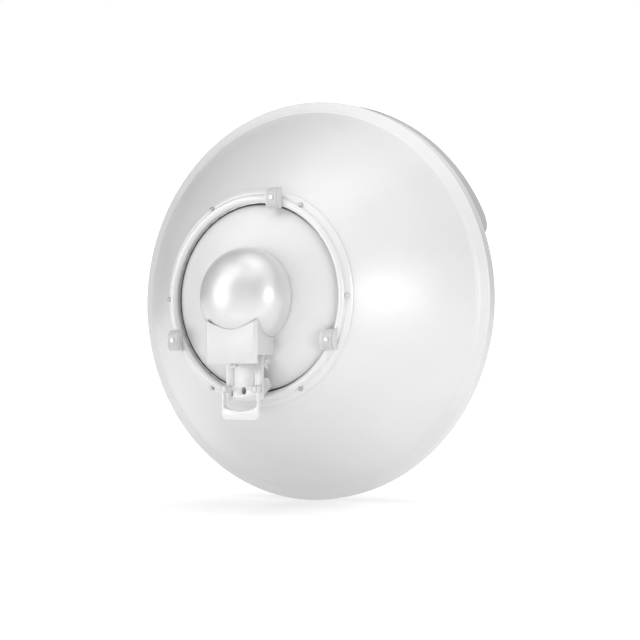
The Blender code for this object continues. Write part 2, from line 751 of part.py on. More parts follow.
def bracket_body():
    """Channel-shaped bracket; the mast arm is bolted to the raised seat on its rear face."""
    half, bottom, corner = BRACKET_HALF, BRACKET_BOTTOM, BRACKET_CORNER
    back = [(-half, BRACKET_TOP), (-half, bottom + corner), (-half + corner, bottom)]
    back += [(half - corner, bottom), (half, bottom + corner), (half, BRACKET_TOP)]
    middle = BRACKET_REAR_Y - BRACKET_PLATE / 2
    body = plate("bracket_body", back, BRACKET_PLATE, (0, middle, 0), "XZ", "white_casting", SEAT)
    top = BRACKET_TOP - 0.5
    shoulder = STRIP_BOTTOM - SEAT_SHOULDER
    raised = [(-STRIP_HALF, top), (-STRIP_HALF, STRIP_BOTTOM), (-SEAT_HALF, shoulder)]
    raised += [(-SEAT_HALF, SEAT_BOTTOM), (SEAT_HALF, SEAT_BOTTOM), (SEAT_HALF, shoulder)]
    raised += [(STRIP_HALF, STRIP_BOTTOM), (STRIP_HALF, top)]
    depth = SEAT_Y - BRACKET_REAR_Y + 2.0
    seat = plate("raised_seat", raised, depth, (0, SEAT_Y - depth / 2, 0), "XZ", None, SEAT)
    tools = [seat]
    for side in (-1, 1):
        x = side * (half - CHEEK / 2 - OVERLAP)
        tools.append(plate(f"cheek_{side}", cheek_outline(), CHEEK, (x, 0, 0), "YZ", None, SEAT))
        x = side * EAR_X
        ear = plate(f"bail_ear_{side}", ear_outline(), EAR_WIDTH, (x, 0, 0), "YZ", None, SEAT)
        tools.append(ear)
    join(body, *tools)
    upper, lower = MAST_HOLE_Z
    oval = arc((0, upper), MAST_HOLE_R, 0, 180, 9) + arc((0, lower), MAST_HOLE_R, 180, 360, 9)
    slot = box("bracket_slot", *SLOT, None, SEAT)
    key_r, key_x, key_z = KEY_HOLE
    holes = [
        plate("mast_hole", oval, THROUGH, (0, BRACKET_REAR_Y, 0), "XZ", None, SEAT),
        rod("key_hole", key_r, THROUGH, (key_x, BRACKET_REAR_Y, key_z), "Y", None, SEAT, 10),
        rod("tilt_hole", TILT_HOLE_R, THROUGH, (0, PIVOT_Y, PIVOT_Z), "X", None, SEAT),
        rod("bail_hole", BAIL_HOLE_R, THROUGH, (0, BAIL_Y, BAIL_Z), "X", None, SEAT),
    ]
    cut(body, slot, *holes)


def mast_nut():
    """Captive nut behind the hole in the seat."""
    (outer, inner), (front, rear) = MAST_NUT
    outline = [(outer, rear), (outer, front), (inner, front), (inner, rear)]
    turned("mast_nut", outline, "steel", SEAT, 6, (0, 0, sum(MAST_HOLE_Z) / 2))


def tilt_yoke():
    """Two ears on the hub disc that carry the tilt bolts."""
    half = YOKE_EAR_X + YOKE_EAR_WIDTH / 2 + OVERLAP
    low = (-half, YOKE_Y[0], YOKE_Z[0])
    yoke = box("tilt_yoke", low, (half, YOKE_Y[1], YOKE_Z[1]), "white_casting", DISH)
    shape = arc((PIVOT_Y, PIVOT_Z), YOKE_EAR_R, 120, -60, 8) + YOKE_EAR_ROOT
    ears = []
    for side in (-1, 1):
        at = (side * YOKE_EAR_X, 0, 0)
        ears.append(plate(f"yoke_ear_{side}", shape, YOKE_EAR_WIDTH, at, "YZ", None, DISH))
    join(yoke, *ears)
    pivot = (0, PIVOT_Y, PIVOT_Z)
    cut(yoke, rod("yoke_hole", TILT_HOLE_R, THROUGH, pivot, "X", None, DISH))


def tilt_bolts():
    """A bolt and nut through each ear and cheek."""
    (outer, inner), half = TILT_NUT
    nut = [(outer, half), (outer, -half), (inner, -half), (inner, half)]
    for name, side in (("left", 1), ("right", -1)):
        at = (side * (BRACKET_HALF + GAP), PIVOT_Y, PIVOT_Z)
        turn = (0, side * 90, 0)
        pan_screw(f"tilt_bolt_{name}", at, turn, SEAT, **TILT_BOLT, material="white_casting")
        place = (side * TILT_NUT_X, PIVOT_Y, PIVOT_Z)
        turned(f"tilt_nut_{name}", nut, "steel", SEAT, 6, place, (0, 90, 0))


def bail_lever():
    """Swinging bail with a hollowed grip; its origin is on its pins' axis."""
    half, inner, corner = BAIL_HALF, BAIL_HALF - BAIL_ARM, BAIL_CORNER
    top, bottom = BAIL_TOP, BAIL_BOTTOM - BAIL_Z
    grip = BAIL_GRIP_Z - BAIL_Z
    outer = [(-half, top)] + arc((-half + corner, bottom + corner), corner, 180, 270, 5)
    outer += arc((half - corner, bottom + corner), corner, 270, 360, 5) + [(half, top)]
    chord = inner - BAIL_SHOULDER + 1.0
    radius = (chord * chord + BAIL_GRIP_DIP**2) / (2 * BAIL_GRIP_DIP)
    sweep = math.degrees(math.asin(chord / radius))
    hollow = arc((0, grip - BAIL_GRIP_DIP + radius), radius, 270 + sweep, 270 - sweep, 9)
    shoulder = grip + BAIL_SHOULDER
    inside = [(inner, top), (inner, shoulder)] + hollow + [(-inner, shoulder), (-inner, top)]
    at = (0, BAIL_Y, BAIL_Z)
    bail = plate("bail_lever", outer + inside, BAIL_DEPTH, at, "XZ", "white_casting", SEAT)
    round_edges(bail, BAIL_EDGE, 1)
    cut(bail, rod("bail_pin_hole", BAIL_HOLE_R, THROUGH, at, "X", None, SEAT))
    for name, side in (("left", 1), ("right", -1)):
        place = (side * (BAIL_HALF + GAP), BAIL_Y, BAIL_Z)
        turn = (0, side * 90, 0)
        pan_screw(f"bail_pin_{name}", place, turn, SEAT, **BAIL_PIN, material="white_casting")


def build():
    reflector = outer_reflector()
    rain_brim()
    hub_disc()
    ring = ring_frame()
    ring_gasket()
    ring_screws(ring, reflector)
    ring_saddles()
    rear_housing()
    housing_seal()
    radio_chassis()
    electronics()
    port_block()
    ethernet_jack()
    reset_button()
    port_cover()
    feed()
    bracket_body()
    mast_nut()
    tilt_yoke()
    tilt_bolts()
    bail_lever()


build()
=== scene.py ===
"""Looks for the outdoor wireless bridge: a white 650 mm dish seen from its rear right.

Shapes are set out in millimetres from the centre of the rim plane and anchored on the CAD boxes.
"""

import json
import math

import bmesh
import bpy
from mathutils import Matrix, Vector

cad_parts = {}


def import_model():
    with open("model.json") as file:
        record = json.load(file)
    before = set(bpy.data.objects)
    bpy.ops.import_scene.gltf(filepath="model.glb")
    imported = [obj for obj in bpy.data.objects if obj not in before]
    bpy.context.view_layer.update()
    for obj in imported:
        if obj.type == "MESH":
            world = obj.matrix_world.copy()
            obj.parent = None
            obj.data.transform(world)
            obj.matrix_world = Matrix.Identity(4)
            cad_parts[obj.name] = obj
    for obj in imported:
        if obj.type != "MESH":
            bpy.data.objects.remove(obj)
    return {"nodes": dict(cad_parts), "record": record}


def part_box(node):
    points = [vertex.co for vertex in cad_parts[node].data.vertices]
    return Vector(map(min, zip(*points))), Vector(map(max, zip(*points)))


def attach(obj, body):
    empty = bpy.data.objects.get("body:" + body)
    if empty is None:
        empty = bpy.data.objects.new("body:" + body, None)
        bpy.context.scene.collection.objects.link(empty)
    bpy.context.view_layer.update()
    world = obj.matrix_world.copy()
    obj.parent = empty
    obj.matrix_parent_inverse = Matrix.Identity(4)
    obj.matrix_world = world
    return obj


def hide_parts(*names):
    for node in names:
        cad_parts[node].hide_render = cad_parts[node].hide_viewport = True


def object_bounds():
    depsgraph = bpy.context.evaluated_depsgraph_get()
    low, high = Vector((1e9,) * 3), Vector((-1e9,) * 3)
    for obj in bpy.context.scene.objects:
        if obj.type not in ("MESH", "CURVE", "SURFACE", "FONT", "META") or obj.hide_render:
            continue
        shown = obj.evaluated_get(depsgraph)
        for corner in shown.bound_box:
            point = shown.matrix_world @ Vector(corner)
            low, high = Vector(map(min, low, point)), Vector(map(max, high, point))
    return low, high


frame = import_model()
CAD_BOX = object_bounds()

MM = 0.001
SKIRT_DEPTH = 18.8

# ------------------------------------------------------------------ places taken from the frame

dish_low, dish_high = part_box("outer_reflector")
RIM_R = (dish_high[0] - dish_low[0]) / 2 / MM
RIM = Vector((
    (dish_low[0] + dish_high[0]) / 2,
    dish_low[1] + SKIRT_DEPTH * MM,
    (dish_low[2] + dish_high[2]) / 2,
))


def at_dish(x, y, z):
    """A place in millimetres from the middle of the rim plane, as metres in the frame."""
    return RIM + Vector((x, y, z)) * MM


# ------------------------------------------------------------------ outlines


def spread(start, end, count):
    """Evenly spaced numbers from start to end, both included."""
    return [start + (end - start) * i / (count - 1) for i in range(count)]


def arc(centre, radius, start, end, count):
    """Points on a circle from one angle in degrees to another."""
    angles = [math.radians(a) for a in spread(start, end, count)]
    return [(centre[0] + radius * math.cos(a), centre[1] + radius * math.sin(a)) for a in angles]


NEARLY_STRAIGHT = math.radians(88)
SHARE_OF_SIDE = 0.48


def fillet(corners, closed=True, step=15):
    """A polygon of (u, v, radius) corners with each corner rounded in steps of some degrees."""
    out = []
    count = len(corners)
    for i, (u, v, radius) in enumerate(corners):
        here = Vector((u, v))
        if not radius or (not closed and i in (0, count - 1)):
            out.append((u, v))
            continue
        back = Vector(corners[i - 1][:2]) - here
        ahead = Vector(corners[(i + 1) % count][:2]) - here
        lengths = back.length, ahead.length
        back.normalize()
        ahead.normalize()
        half = back.angle(ahead) / 2
        if half > NEARLY_STRAIGHT:
            out.append((u, v))
            continue
        reach = min(radius / math.tan(half), SHARE_OF_SIDE * min(lengths))
        radius = reach * math.tan(half)
        middle = here + (back + ahead).normalized() * radius / math.sin(half)
        first = here + back * reach - middle
        last = here + ahead * reach - middle
        turn = first.angle_signed(last) * -1
        pieces = max(2, int(abs(math.degrees(turn)) / step) + 1)
        for k in range(pieces + 1):
            a = turn * k / pieces
            c, s = math.cos(a), math.sin(a)
            out.append((middle.x + first.x * c - first.y * s, middle.y + first.x * s + first.y * c))
    return out


def shell(outline, wall):
    """A closed section: the outline, then the same moved inwards by the wall."""
    inner = []
    last = len(outline) - 1
    for i, (u, v) in enumerate(outline):
        before = Vector(outline[max(i - 1, 0)])
        after = Vector(outline[min(i + 1, last)])
        along = (after - before).normalized()
        inner.append((u + along.y * wall, v - along.x * wall))
    return list(outline) + inner[::-1]


# ------------------------------------------------------------------ mesh makers


SMOOTH_ANGLE = 38
ON_AXIS = 1e-6


def object_from(name, bm, smooth=SMOOTH_ANGLE):
    """A linked object from a mesh, smooth but for edges past an angle in degrees."""
    bmesh.ops.recalc_face_normals(bm, faces=bm.faces)
    mesh = bpy.data.meshes.new(name)
    bm.to_mesh(mesh)
    bm.free()
    mesh.shade_smooth()
    mesh.set_sharp_from_angle(angle=math.radians(smooth))
    obj = bpy.data.objects.new(name, mesh)
    bpy.context.scene.collection.objects.link(obj)
    return obj


REARWARD = (0, 1, 0)
SIDEWAYS = (1, 0, 0)
UPWARD = (0, 0, 1)


def turned(name, outline, steps=180, origin=None, axis=REARWARD, smooth=SMOOTH_ANGLE):
    """A turned shape from (radius, height) points in millimetres; ends on the axis are closed."""
    origin = RIM if origin is None else origin
    up = Vector(axis).normalized()
    side = up.orthogonal().normalized()
    other = up.cross(side)
    bm = bmesh.new()
    loops = []
    for r, h in outline:
        base = origin + up * h * MM
        if r < ON_AXIS:
            loops.append([bm.verts.new(base)])
            continue
        ring = []
        for k in range(steps):
            a = 2 * math.pi * k / steps
            ring.append(bm.verts.new(base + (side * math.cos(a) + other * math.sin(a)) * r * MM))
        loops.append(ring)
    open_ended = len(loops[0]) == 1 and len(loops[-1]) == 1
    pairs = list(zip(loops, loops[1:]))
    if not open_ended:
        pairs.append((loops[-1], loops[0]))
    for a, b in pairs:
        for k in range(steps):
            n = (k + 1) % steps
            if len(a) == 1:
                bm.faces.new((a[0], b[n], b[k]))
            elif len(b) == 1:
                bm.faces.new((a[k], a[n], b[0]))
            else:
                bm.faces.new((a[k], a[n], b[n], b[k]))
    return object_from(name, bm, smooth)


def slab(name, outline, thickness, at, plane):
    """A flat outline made thick. Plane XZ faces the rear, YZ sideways and XY up."""
    bm = bmesh.new()
    rows = []
    for offset in (-thickness / 2, thickness / 2):
        row = []
        for u, v in outline:
            if plane == "XZ":
                place = (at[0] + u, at[1] + offset, at[2] + v)
            elif plane == "YZ":
                place = (at[0] + offset, at[1] + u, at[2] + v)
            else:
                place = (at[0] + u, at[1] + v, at[2] + offset)
            row.append(bm.verts.new(at_dish(*place)))
        rows.append(row)
    bm.faces.new(rows[0])
    bm.faces.new(rows[1][::-1])
    count = len(outline)
    for k in range(count):
        n = (k + 1) % count
        bm.faces.new((rows[0][k], rows[0][n], rows[1][n], rows[1][k]))
    return object_from(name, bm)


def brick(name, low, high):
    """A box between two corners."""
    middle = [(a + b) / 2 for a, b in zip(low, high)]
    outline = [(low[0], low[2]), (high[0], low[2]), (high[0], high[2]), (low[0], high[2])]
    return slab(name, outline, high[1] - low[1], (0, middle[1], 0), "XZ")


def rod(name, radius, length, centre, axis, steps=48):
    """A cylinder with its middle at centre."""
    outline = [(0, -length / 2), (radius, -length / 2), (radius, length / 2), (0, length / 2)]
    return turned(name, outline, steps, at_dish(*centre), axis)


def settle(obj):
    """Applies an object's modifiers to its mesh."""
    graph = bpy.context.evaluated_depsgraph_get()
    mesh = bpy.data.meshes.new_from_object(obj.evaluated_get(graph))
    obj.modifiers.clear()
    obj.data = mesh


def combine(obj, tools, operation):
    """Adds or cuts the tools, then removes them."""
    for tool in tools:
        modifier = obj.modifiers.new("join", "BOOLEAN")
        modifier.operation = operation
        modifier.object = tool
        modifier.solver = "EXACT"
    settle(obj)
    for tool in tools:
        bpy.data.objects.remove(tool, do_unlink=True)


def join(obj, *tools):
    """Joins the tools to a piece."""
    combine(obj, tools, "UNION")


def cut(obj, *tools):
    """Cuts the tools out of a piece."""
    combine(obj, tools, "DIFFERENCE")


def shade(obj, angle):
    """Smooth shading with sharp edges past an angle in degrees."""
    obj.data.shade_smooth()
    obj.data.set_sharp_from_angle(angle=math.radians(angle))


SOFTENED_ANGLE = 50


def soften(obj, width, segments=3, angle=32):
    """Rounds the edges that turn by more than an angle in degrees."""
    modifier = obj.modifiers.new("round", "BEVEL")
    modifier.width = width * MM
    modifier.segments = segments
    modifier.limit_method = "ANGLE"
    modifier.angle_limit = math.radians(angle)
    modifier.use_clamp_overlap = True
    modifier.harden_normals = False
    settle(obj)
    shade(obj, SOFTENED_ANGLE)


# ------------------------------------------------------------------ materials


CLOUD_SCALE, SPECK_SCALE, SPECK_SHARE = 14.0, 900.0, 0.3
CLOUD_FROM, CLOUD_TO = 0.3, 0.7
GRAIN_BELOW = 1.5
GLOSS_FROM, GLOSS_TO = 0.92, 1.1
PEEL_DEPTH = 0.0003


def node(tree, kind, **values):
    """A new node with its sockets or settings filled in."""
    made = tree.nodes.new(kind)
    for key, value in values.items():
        if key in made.inputs:
            made.inputs[key].default_value = value
        else:
            setattr(made, key, value)
    return made


def coated(
    name, colour, rough, peel=0.06, peel_size=1300, metallic=0.0, grain=0.02, coat=0.0, specular=0.5
):
    """A paint, moulding or metal with a fine surface grain, slight cloudiness and uneven gloss."""
    material = bpy.data.materials.new(name)
    material.use_nodes = True
    tree = material.node_tree
    link = tree.links.new
    shader = tree.nodes["Principled BSDF"]
    shader.inputs["Metallic"].default_value = metallic
    shader.inputs["Coat Weight"].default_value = coat
    shader.inputs["Coat Roughness"].default_value = rough
    shader.inputs["Specular IOR Level"].default_value = specular
    place = node(tree, "ShaderNodeTexCoord")
    cloud = node(tree, "ShaderNodeTexNoise", Scale=CLOUD_SCALE, Detail=4.0, Roughness=0.6)
    speck = node(tree, "ShaderNodeTexNoise", Scale=SPECK_SCALE, Detail=2.0)
    fine = node(tree, "ShaderNodeTexNoise", Scale=float(peel_size), Detail=2.0, Roughness=0.45)
    for texture in (cloud, speck, fine):
        link(place.outputs["Object"], texture.inputs["Vector"])
    blend = node(tree, "ShaderNodeMix", data_type="FLOAT")
    blend.inputs[0].default_value = SPECK_SHARE
    link(cloud.outputs["Fac"], blend.inputs[2])
    link(speck.outputs["Fac"], blend.inputs[3])
    ramp = node(tree, "ShaderNodeValToRGB")
    low = [max(0.0, c * (1 - grain * GRAIN_BELOW)) for c in colour]
    high = [min(1.0, c * (1 + grain)) for c in colour]
    ramp.color_ramp.elements[0].position = CLOUD_FROM
    ramp.color_ramp.elements[1].position = CLOUD_TO
    ramp.color_ramp.elements[0].color = (*low, 1)
    ramp.color_ramp.elements[1].color = (*high, 1)
    link(blend.outputs[0], ramp.inputs["Fac"])
    link(ramp.outputs["Color"], shader.inputs["Base Color"])
    gloss = node(tree, "ShaderNodeMapRange")
    gloss.inputs["From Min"].default_value = CLOUD_FROM
    gloss.inputs["From Max"].default_value = CLOUD_TO
    gloss.inputs["To Min"].default_value = rough * GLOSS_FROM
    gloss.inputs["To Max"].default_value = rough * GLOSS_TO
    link(cloud.outputs["Fac"], gloss.inputs["Value"])
    link(gloss.outputs["Result"], shader.inputs["Roughness"])
    bump = node(tree, "ShaderNodeBump", Strength=peel, Distance=PEEL_DEPTH)
    link(fine.outputs["Fac"], bump.inputs["Height"])
    link(bump.outputs["Normal"], shader.inputs["Normal"])
    return material


WHITE_PAINT = (0.63, 0.63, 0.635)
WHITE_CAST = (0.64, 0.64, 0.645)
FINISH = {
    "white_sheet": coated("white_powder_coat", WHITE_PAINT, 0.36, specular=1.0, coat=0.2),
    "white_casting": coated("white_cast_coat", WHITE_CAST, 0.30, peel_size=1000, specular=1.0, coat=0.1),
    "white_plastic": coated("white_moulding", (0.58, 0.58, 0.58), 0.36, peel=0.02, specular=0.8),
    "grey_polymer": coated("grey_moulding", (0.50, 0.50, 0.51), 0.45, peel=0.05),
    # Near-black seal colour; in the channel between the hub and the ring it is also painted shade for the
    # gap.
    "black_rubber": coated("black_seal_gap_shade", (0.09, 0.09, 0.09), 0.7, grain=0.2),
    "steel": coated("screw_steel", (0.50, 0.50, 0.51), 0.40, metallic=1.0, grain=0.12),
    "aluminium": coated("bare_aluminium", (0.66, 0.66, 0.68), 0.36, metallic=1.0, grain=0.05),
    "board_green": coated("solder_mask", (0.02, 0.15, 0.06), 0.4, grain=0.3),
    "ceramic": coated("patch_ceramic", (0.70, 0.63, 0.50), 0.6, peel=0.1),
    "jack_black": coated("black_moulding", (0.03, 0.03, 0.03), 0.4, grain=0.2),
    "lens_clear": coated("light_pipe", (0.70, 0.80, 0.85), 0.15, peel=0.01),
}
DOME_FINISH = coated("dome_moulding", (0.53, 0.53, 0.535), 0.31, peel=0.01, specular=1.0, coat=1.0)
DOME_LACQUER_INDEX = 2.0
dome_shader = DOME_FINISH.node_tree.nodes["Principled BSDF"]
dome_shader.inputs["Coat IOR"].default_value = DOME_LACQUER_INDEX
# The brim is the same white sheet as the reflector; its darker paint is painted shade.
BRIM_PAINTED_SHADE = coated("brim_painted_shade", (0.47, 0.47, 0.475), 0.36)
BRIGHT_STEEL = coated("bright_steel", (0.90, 0.90, 0.91), 0.30, metallic=1.0, grain=0.04)
SLOT_OF = {part["node"]: part["material_slot"] for part in frame["record"]["subparts"]}


def dress(obj, body, slot, *nodes):
    """Gives a piece its finish, its body and the CAD nodes that it stands for."""
    obj.data.materials.clear()
    obj.data.materials.append(FINISH[slot])
    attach(obj, body)
    if nodes:
        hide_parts(*nodes)
    return obj


# ------------------------------------------------------------------ reflector and brim

DISH_VERTEX, DISH_FOCAL, DISH_INNER_R = 219.4, 111.6, 161.8
HUB_VERTEX, HUB_CURVE = 187.0, 682.5
SHEET = 1.2
KNEE_R, BAND_START_R = 302.6, 306.6
RIM_STEP = [(309.2, 7.7, 2.6), (312.0, 5.9, 3.0)]
RIM_EDGE_Y, RIM_EDGE_ROUND, SKIRT_TAPER = 0.4, 2.0, 0.4
FINE_STEPS = 288


def dish_y(r):
    """Height of the reflector's rear face at radius r."""
    return DISH_VERTEX - r * r / (4 * DISH_FOCAL)


def hub_y(r):
    """Height of the hub disc's rear face at radius r."""
    return HUB_VERTEX - r * r / HUB_CURVE


def reflector():
    """Stamped dish with a step up to its flat rim band, whose edge turns forward into a skirt."""
    bowl = [(r, dish_y(r)) for r in spread(DISH_INNER_R, KNEE_R, 28)]
    rim = [(KNEE_R, dish_y(KNEE_R), 0), (BAND_START_R, dish_y(BAND_START_R), 3.0)] + RIM_STEP
    rim += [(RIM_R, RIM_EDGE_Y, RIM_EDGE_ROUND), (RIM_R - SKIRT_TAPER, -SKIRT_DEPTH, 0)]
    outline = bowl[:-1] + fillet(rim, closed=False, step=8)
    obj = turned("reflector_shell", shell(outline, SHEET), FINE_STEPS)
    dress(obj, "antenna", "white_sheet", "outer_reflector")


BRIM_HALF, BRIM_ROUND, BRIM_COLUMNS = 71.6, 6.5, 150
BRIM_ROOT_R, BRIM_FRONT_R = 322.2, 326.0
BRIM_ROOT_Y, BRIM_END_Y, BRIM_FRONT = -4.0, -11.0, -39.8
BRIM_BEND_Y, BRIM_BEND_ROUND, BRIM_EDGE_ROUND = -17.8, 4.0, 0.5
BRIM_SHEET = 1.4
BRIM_TIP_SHARE, BRIM_CURVE_SHARE = 0.02, 0.45


def brim():
    """Curved brim inside the skirt, over the top; its ends are rounded and its edge is soft."""
    bm = bmesh.new()
    rows = []
    for i in range(BRIM_COLUMNS + 1):
        angle = BRIM_HALF * math.sin(math.pi / 2 * (2 * i / BRIM_COLUMNS - 1))
        inside = min((BRIM_HALF - abs(angle)) / BRIM_ROUND, 1.0)
        share = math.sqrt(max(0.0, 1 - (1 - inside) ** 2))
        a = math.radians(angle)
        section = rounded(brim_outline(share))
        rows.append([(math.sin(a), math.cos(a), r, y) for r, y in section])
    verts = [[bm.verts.new(at_dish(s * r, y, c * r)) for s, c, r, y in row] for row in rows]
    count = len(verts[0])
    for a, b in zip(verts, verts[1:]):
        for k in range(count):
            n = (k + 1) % count
            bm.faces.new((a[k], a[n], b[n], b[k]))
    bm.faces.new(verts[0][::-1])
    bm.faces.new(verts[-1])
    obj = dress(object_from("brim", bm), "antenna", "white_sheet", "rain_brim")
    # Darker paint on the brim: painted shade.
    obj.data.materials[0] = BRIM_PAINTED_SHADE


def brim_outline(share):
    """The brim's section where it reaches this share of the way to its full front."""
    front = -SKIRT_DEPTH + (BRIM_FRONT + SKIRT_DEPTH) * share
    outer = BRIM_ROOT_R + (BRIM_FRONT_R - BRIM_ROOT_R) * share
    root = BRIM_ROOT_R - BRIM_SHEET
    if share < BRIM_TIP_SHARE:
        side = [(BRIM_ROOT_R, BRIM_ROOT_Y, 0), (BRIM_ROOT_R, BRIM_END_Y, 0.1), (BRIM_ROOT_R, front, 0.1)]
        return side + [(root, front, 0.1), (root, BRIM_END_Y, 0.1), (root, BRIM_ROOT_Y, 0)]
    return [
        (BRIM_ROOT_R, BRIM_ROOT_Y, 0),
        (BRIM_ROOT_R, BRIM_BEND_Y, BRIM_BEND_ROUND),
        (outer, front, BRIM_EDGE_ROUND),
        (outer - BRIM_SHEET, front, BRIM_EDGE_ROUND),
        (root, BRIM_BEND_Y, BRIM_BEND_ROUND),
        (root, BRIM_ROOT_Y, 0),
    ]


def rounded(outline):
    """Corners rounded by curves that all have the same number of points."""
    points = []
    for i, (u, v, radius) in enumerate(outline):
        if not radius:
            points.append((u, v))
            continue
        here = Vector((u, v))
        back = Vector(outline[i - 1][:2]) - here
        ahead = Vector(outline[(i + 1) % len(outline)][:2]) - here
        reach = min(radius, BRIM_CURVE_SHARE * min(back.length, ahead.length))
        first, last = here + back.normalized() * reach, here + ahead.normalized() * reach
        for t in (0.0, 0.25, 0.5, 0.75, 1.0):
            place = first * (1 - t) ** 2 + here * 2 * t * (1 - t) + last * t * t
            points.append((place.x, place.y))
    return points


HUB_HOLE_R, HUB_BEND_R, HUB_EDGE_R = 26.0, 141.0, 145.0
HUB_EDGE_ROUND, HUB_LIP_Y, HUB_SHEET = 2.4, 149.6, 1.5


def hub():
    """Shallow disc in the middle of the dish, its edge turned forward."""
    face = [(r, hub_y(r)) for r in spread(HUB_HOLE_R, HUB_BEND_R, 20)]
    edge = [(HUB_BEND_R, hub_y(HUB_BEND_R), 0), (HUB_EDGE_R, hub_y(HUB_EDGE_R), HUB_EDGE_ROUND)]
    edge.append((HUB_EDGE_R, HUB_LIP_Y, 0))
    outline = face[:-1] + fillet(edge, closed=False, step=8)
    dress(turned("hub_shell", shell(outline, HUB_SHEET), 216), "antenna", "white_sheet", "hub_disc")


BEAD_R, BEAD_Y, BEAD_SIZE = 154.5, 162.5, 6.2
RING_FLANGE = [
    (160.6, 163.4, 0),
    (161.0, 162.4, 0.8),
    (163.6, 162.2, 1.2),
    (168.4, 159.0, 1.4),
    (170.8, 157.0, 1.4),
    (170.8, 155.6, 0),
]
RING_UNDER = [(161.4, 161.0), (160.8, 158.4), (156.0, 156.0), (152.3, 151.0), (149.6, 151.0)]
RING_INNER = (149.2, 157.0)


def ring():
    """Rolled bead and the flange that laps the dish's inner edge."""
    bead = arc((BEAD_R, BEAD_Y), BEAD_SIZE, 200, 8, 22)
    flange = fillet(RING_FLANGE, closed=False, step=12)[1:]
    obj = turned("ring_band", bead + flange + RING_UNDER + [RING_INNER], FINE_STEPS)
    dress(obj, "antenna", "white_casting", "ring_frame")


# ------------------------------------------------------------------ screws


# Outline of a head from its crown to its underside, as shares of its radius and height
PAN_HEAD = [(0, 1), (0.3, 0.99), (0.58, 0.93), (0.82, 0.76), (0.96, 0.46), (1, 0.12), (0.97, 0)]
SHANK_CHAMFER = 0.4
RECESS_SHARE = 0.13
CROSS_REACH, CROSS_FLOOR = 0.6, 0.45
SLOT_REACH, SLOT_FLOOR = 1.2, 0.5

# Head radius, head height, shank radius and length
RING_SCREW = (3.6, 2.4, 2.0, 7.0)
SADDLE_SCREW = (3.4, 2.0, 1.9, 10.0)
COVER_SCREW = (2.3, 1.4, 1.3, 6.5)
EARTH_SCREW = (3.2, 2.0, 1.5, 4.0)
TILT_BOLT = (4.6, 1.6, 2.8, 13.0)
BAIL_PIN = (3.2, 1.0, 2.0, 9.0)


def screw(name, body, node, origin, axis, size, drive="cross"):
    """A pan head with a crowned top and a recess, on a plain shank."""
    axis = Vector(axis).normalized()
    head_r, head, shank_r, length = size
    outline = [(head_r * r, head * h) for r, h in PAN_HEAD]
    outline += [(shank_r, 0), (shank_r, SHANK_CHAMFER - length), (shank_r - SHANK_CHAMFER, -length)]
    outline.append((0, -length))
    obj = turned(name, outline, 40, origin, axis)
    side = axis.orthogonal().normalized()
    other = axis.cross(side)
    narrow = head_r * RECESS_SHARE
    if drive == "cross":
        reach, bottom = head_r * CROSS_REACH, head * CROSS_FLOOR
        for long, short in ((side, other), (other, side)):
            cut(obj, block(origin, (long, short, axis), reach, narrow, bottom, head))
    elif drive == "slot":
        cut(obj, block(origin, (side, other, axis), head_r * SLOT_REACH, narrow, head * SLOT_FLOOR, head))
    shade(obj, 35)
    return dress(obj, body, SLOT_OF[node], node)


def block(origin, ways, half_long, half_short, low, high):
    """A small block above an origin, for cutting a recess that opens past a height."""
    bm = bmesh.new()
    bmesh.ops.create_cube(bm, size=1.0)
    obj = object_from("recess", bm)
    long, short, axis = ways
    depth = high + 1
    middle = origin + axis * (low + depth / 2) * MM
    turn = Matrix((long, short, axis)).transposed().to_4x4()
    size = Matrix.Diagonal((half_long * 2 * MM, half_short * 2 * MM, depth * MM, 1))
    obj.data.transform(Matrix.Translation(middle) @ turn @ size)
    return obj


RING_SCREW_R, RING_SCREW_LIFT, RING_SCREW_OUT, RING_SCREWS = 162.4, 3.2, 1.2, 6


def ring_screws():
    """Screws square to the flange."""
    lean = math.atan(RING_SCREW_R / (2 * DISH_FOCAL))
    radius = RING_SCREW_R + RING_SCREW_OUT
    height = dish_y(RING_SCREW_R) + RING_SCREW_LIFT
    for i in range(RING_SCREWS):
        a = 2 * math.pi / RING_SCREWS * i
        out = Vector((math.cos(a), 0, math.sin(a)))
        axis = Vector(REARWARD) * math.cos(lean) + out * math.sin(lean)
        place = at_dish(radius * out.x, height, radius * out.z)
        screw(f"ring_screw_head_{i + 1}", "antenna", f"ring_screw_{i + 1}", place, axis, RING_SCREW)


# ------------------------------------------------------------------ saddles

SADDLE_BASE, SADDLE_SPRING, SADDLE_CROWN = 169.6, 172.6, 182.6
SADDLE_WIDTH, SADDLE_HALF = 23.6, 16.5
CHEEK_OUTER, CHEEK_INNER = 2.8, 1.8
HOOD_SINK, HOOD_SHIFT, HOOD_WALL = 0.5, 0.5, 2.8
HOOD_HOLLOW = 14.0
SADDLE_HOLE_R = 2.5
FACE_GAP = 0.05
SCREW_GAP = 0.4
SADDLES = {"top": (158.5, 104.6), "left": (158.5, 335.4), "right": (153.0, 205.6)}


def saddle_section(shrink, base):
    """Half-round section in the YZ plane with short straight legs."""
    half, rise = SADDLE_HALF - shrink, SADDLE_CROWN - SADDLE_SPRING - shrink
    radius = (half * half + rise * rise) / (2 * rise)
    sweep = math.degrees(math.asin(half / radius))
    crown = arc((SADDLE_SPRING + rise - radius, 0), radius, sweep, -sweep, 25)
    return crown + [(base, -half), (base, half)]


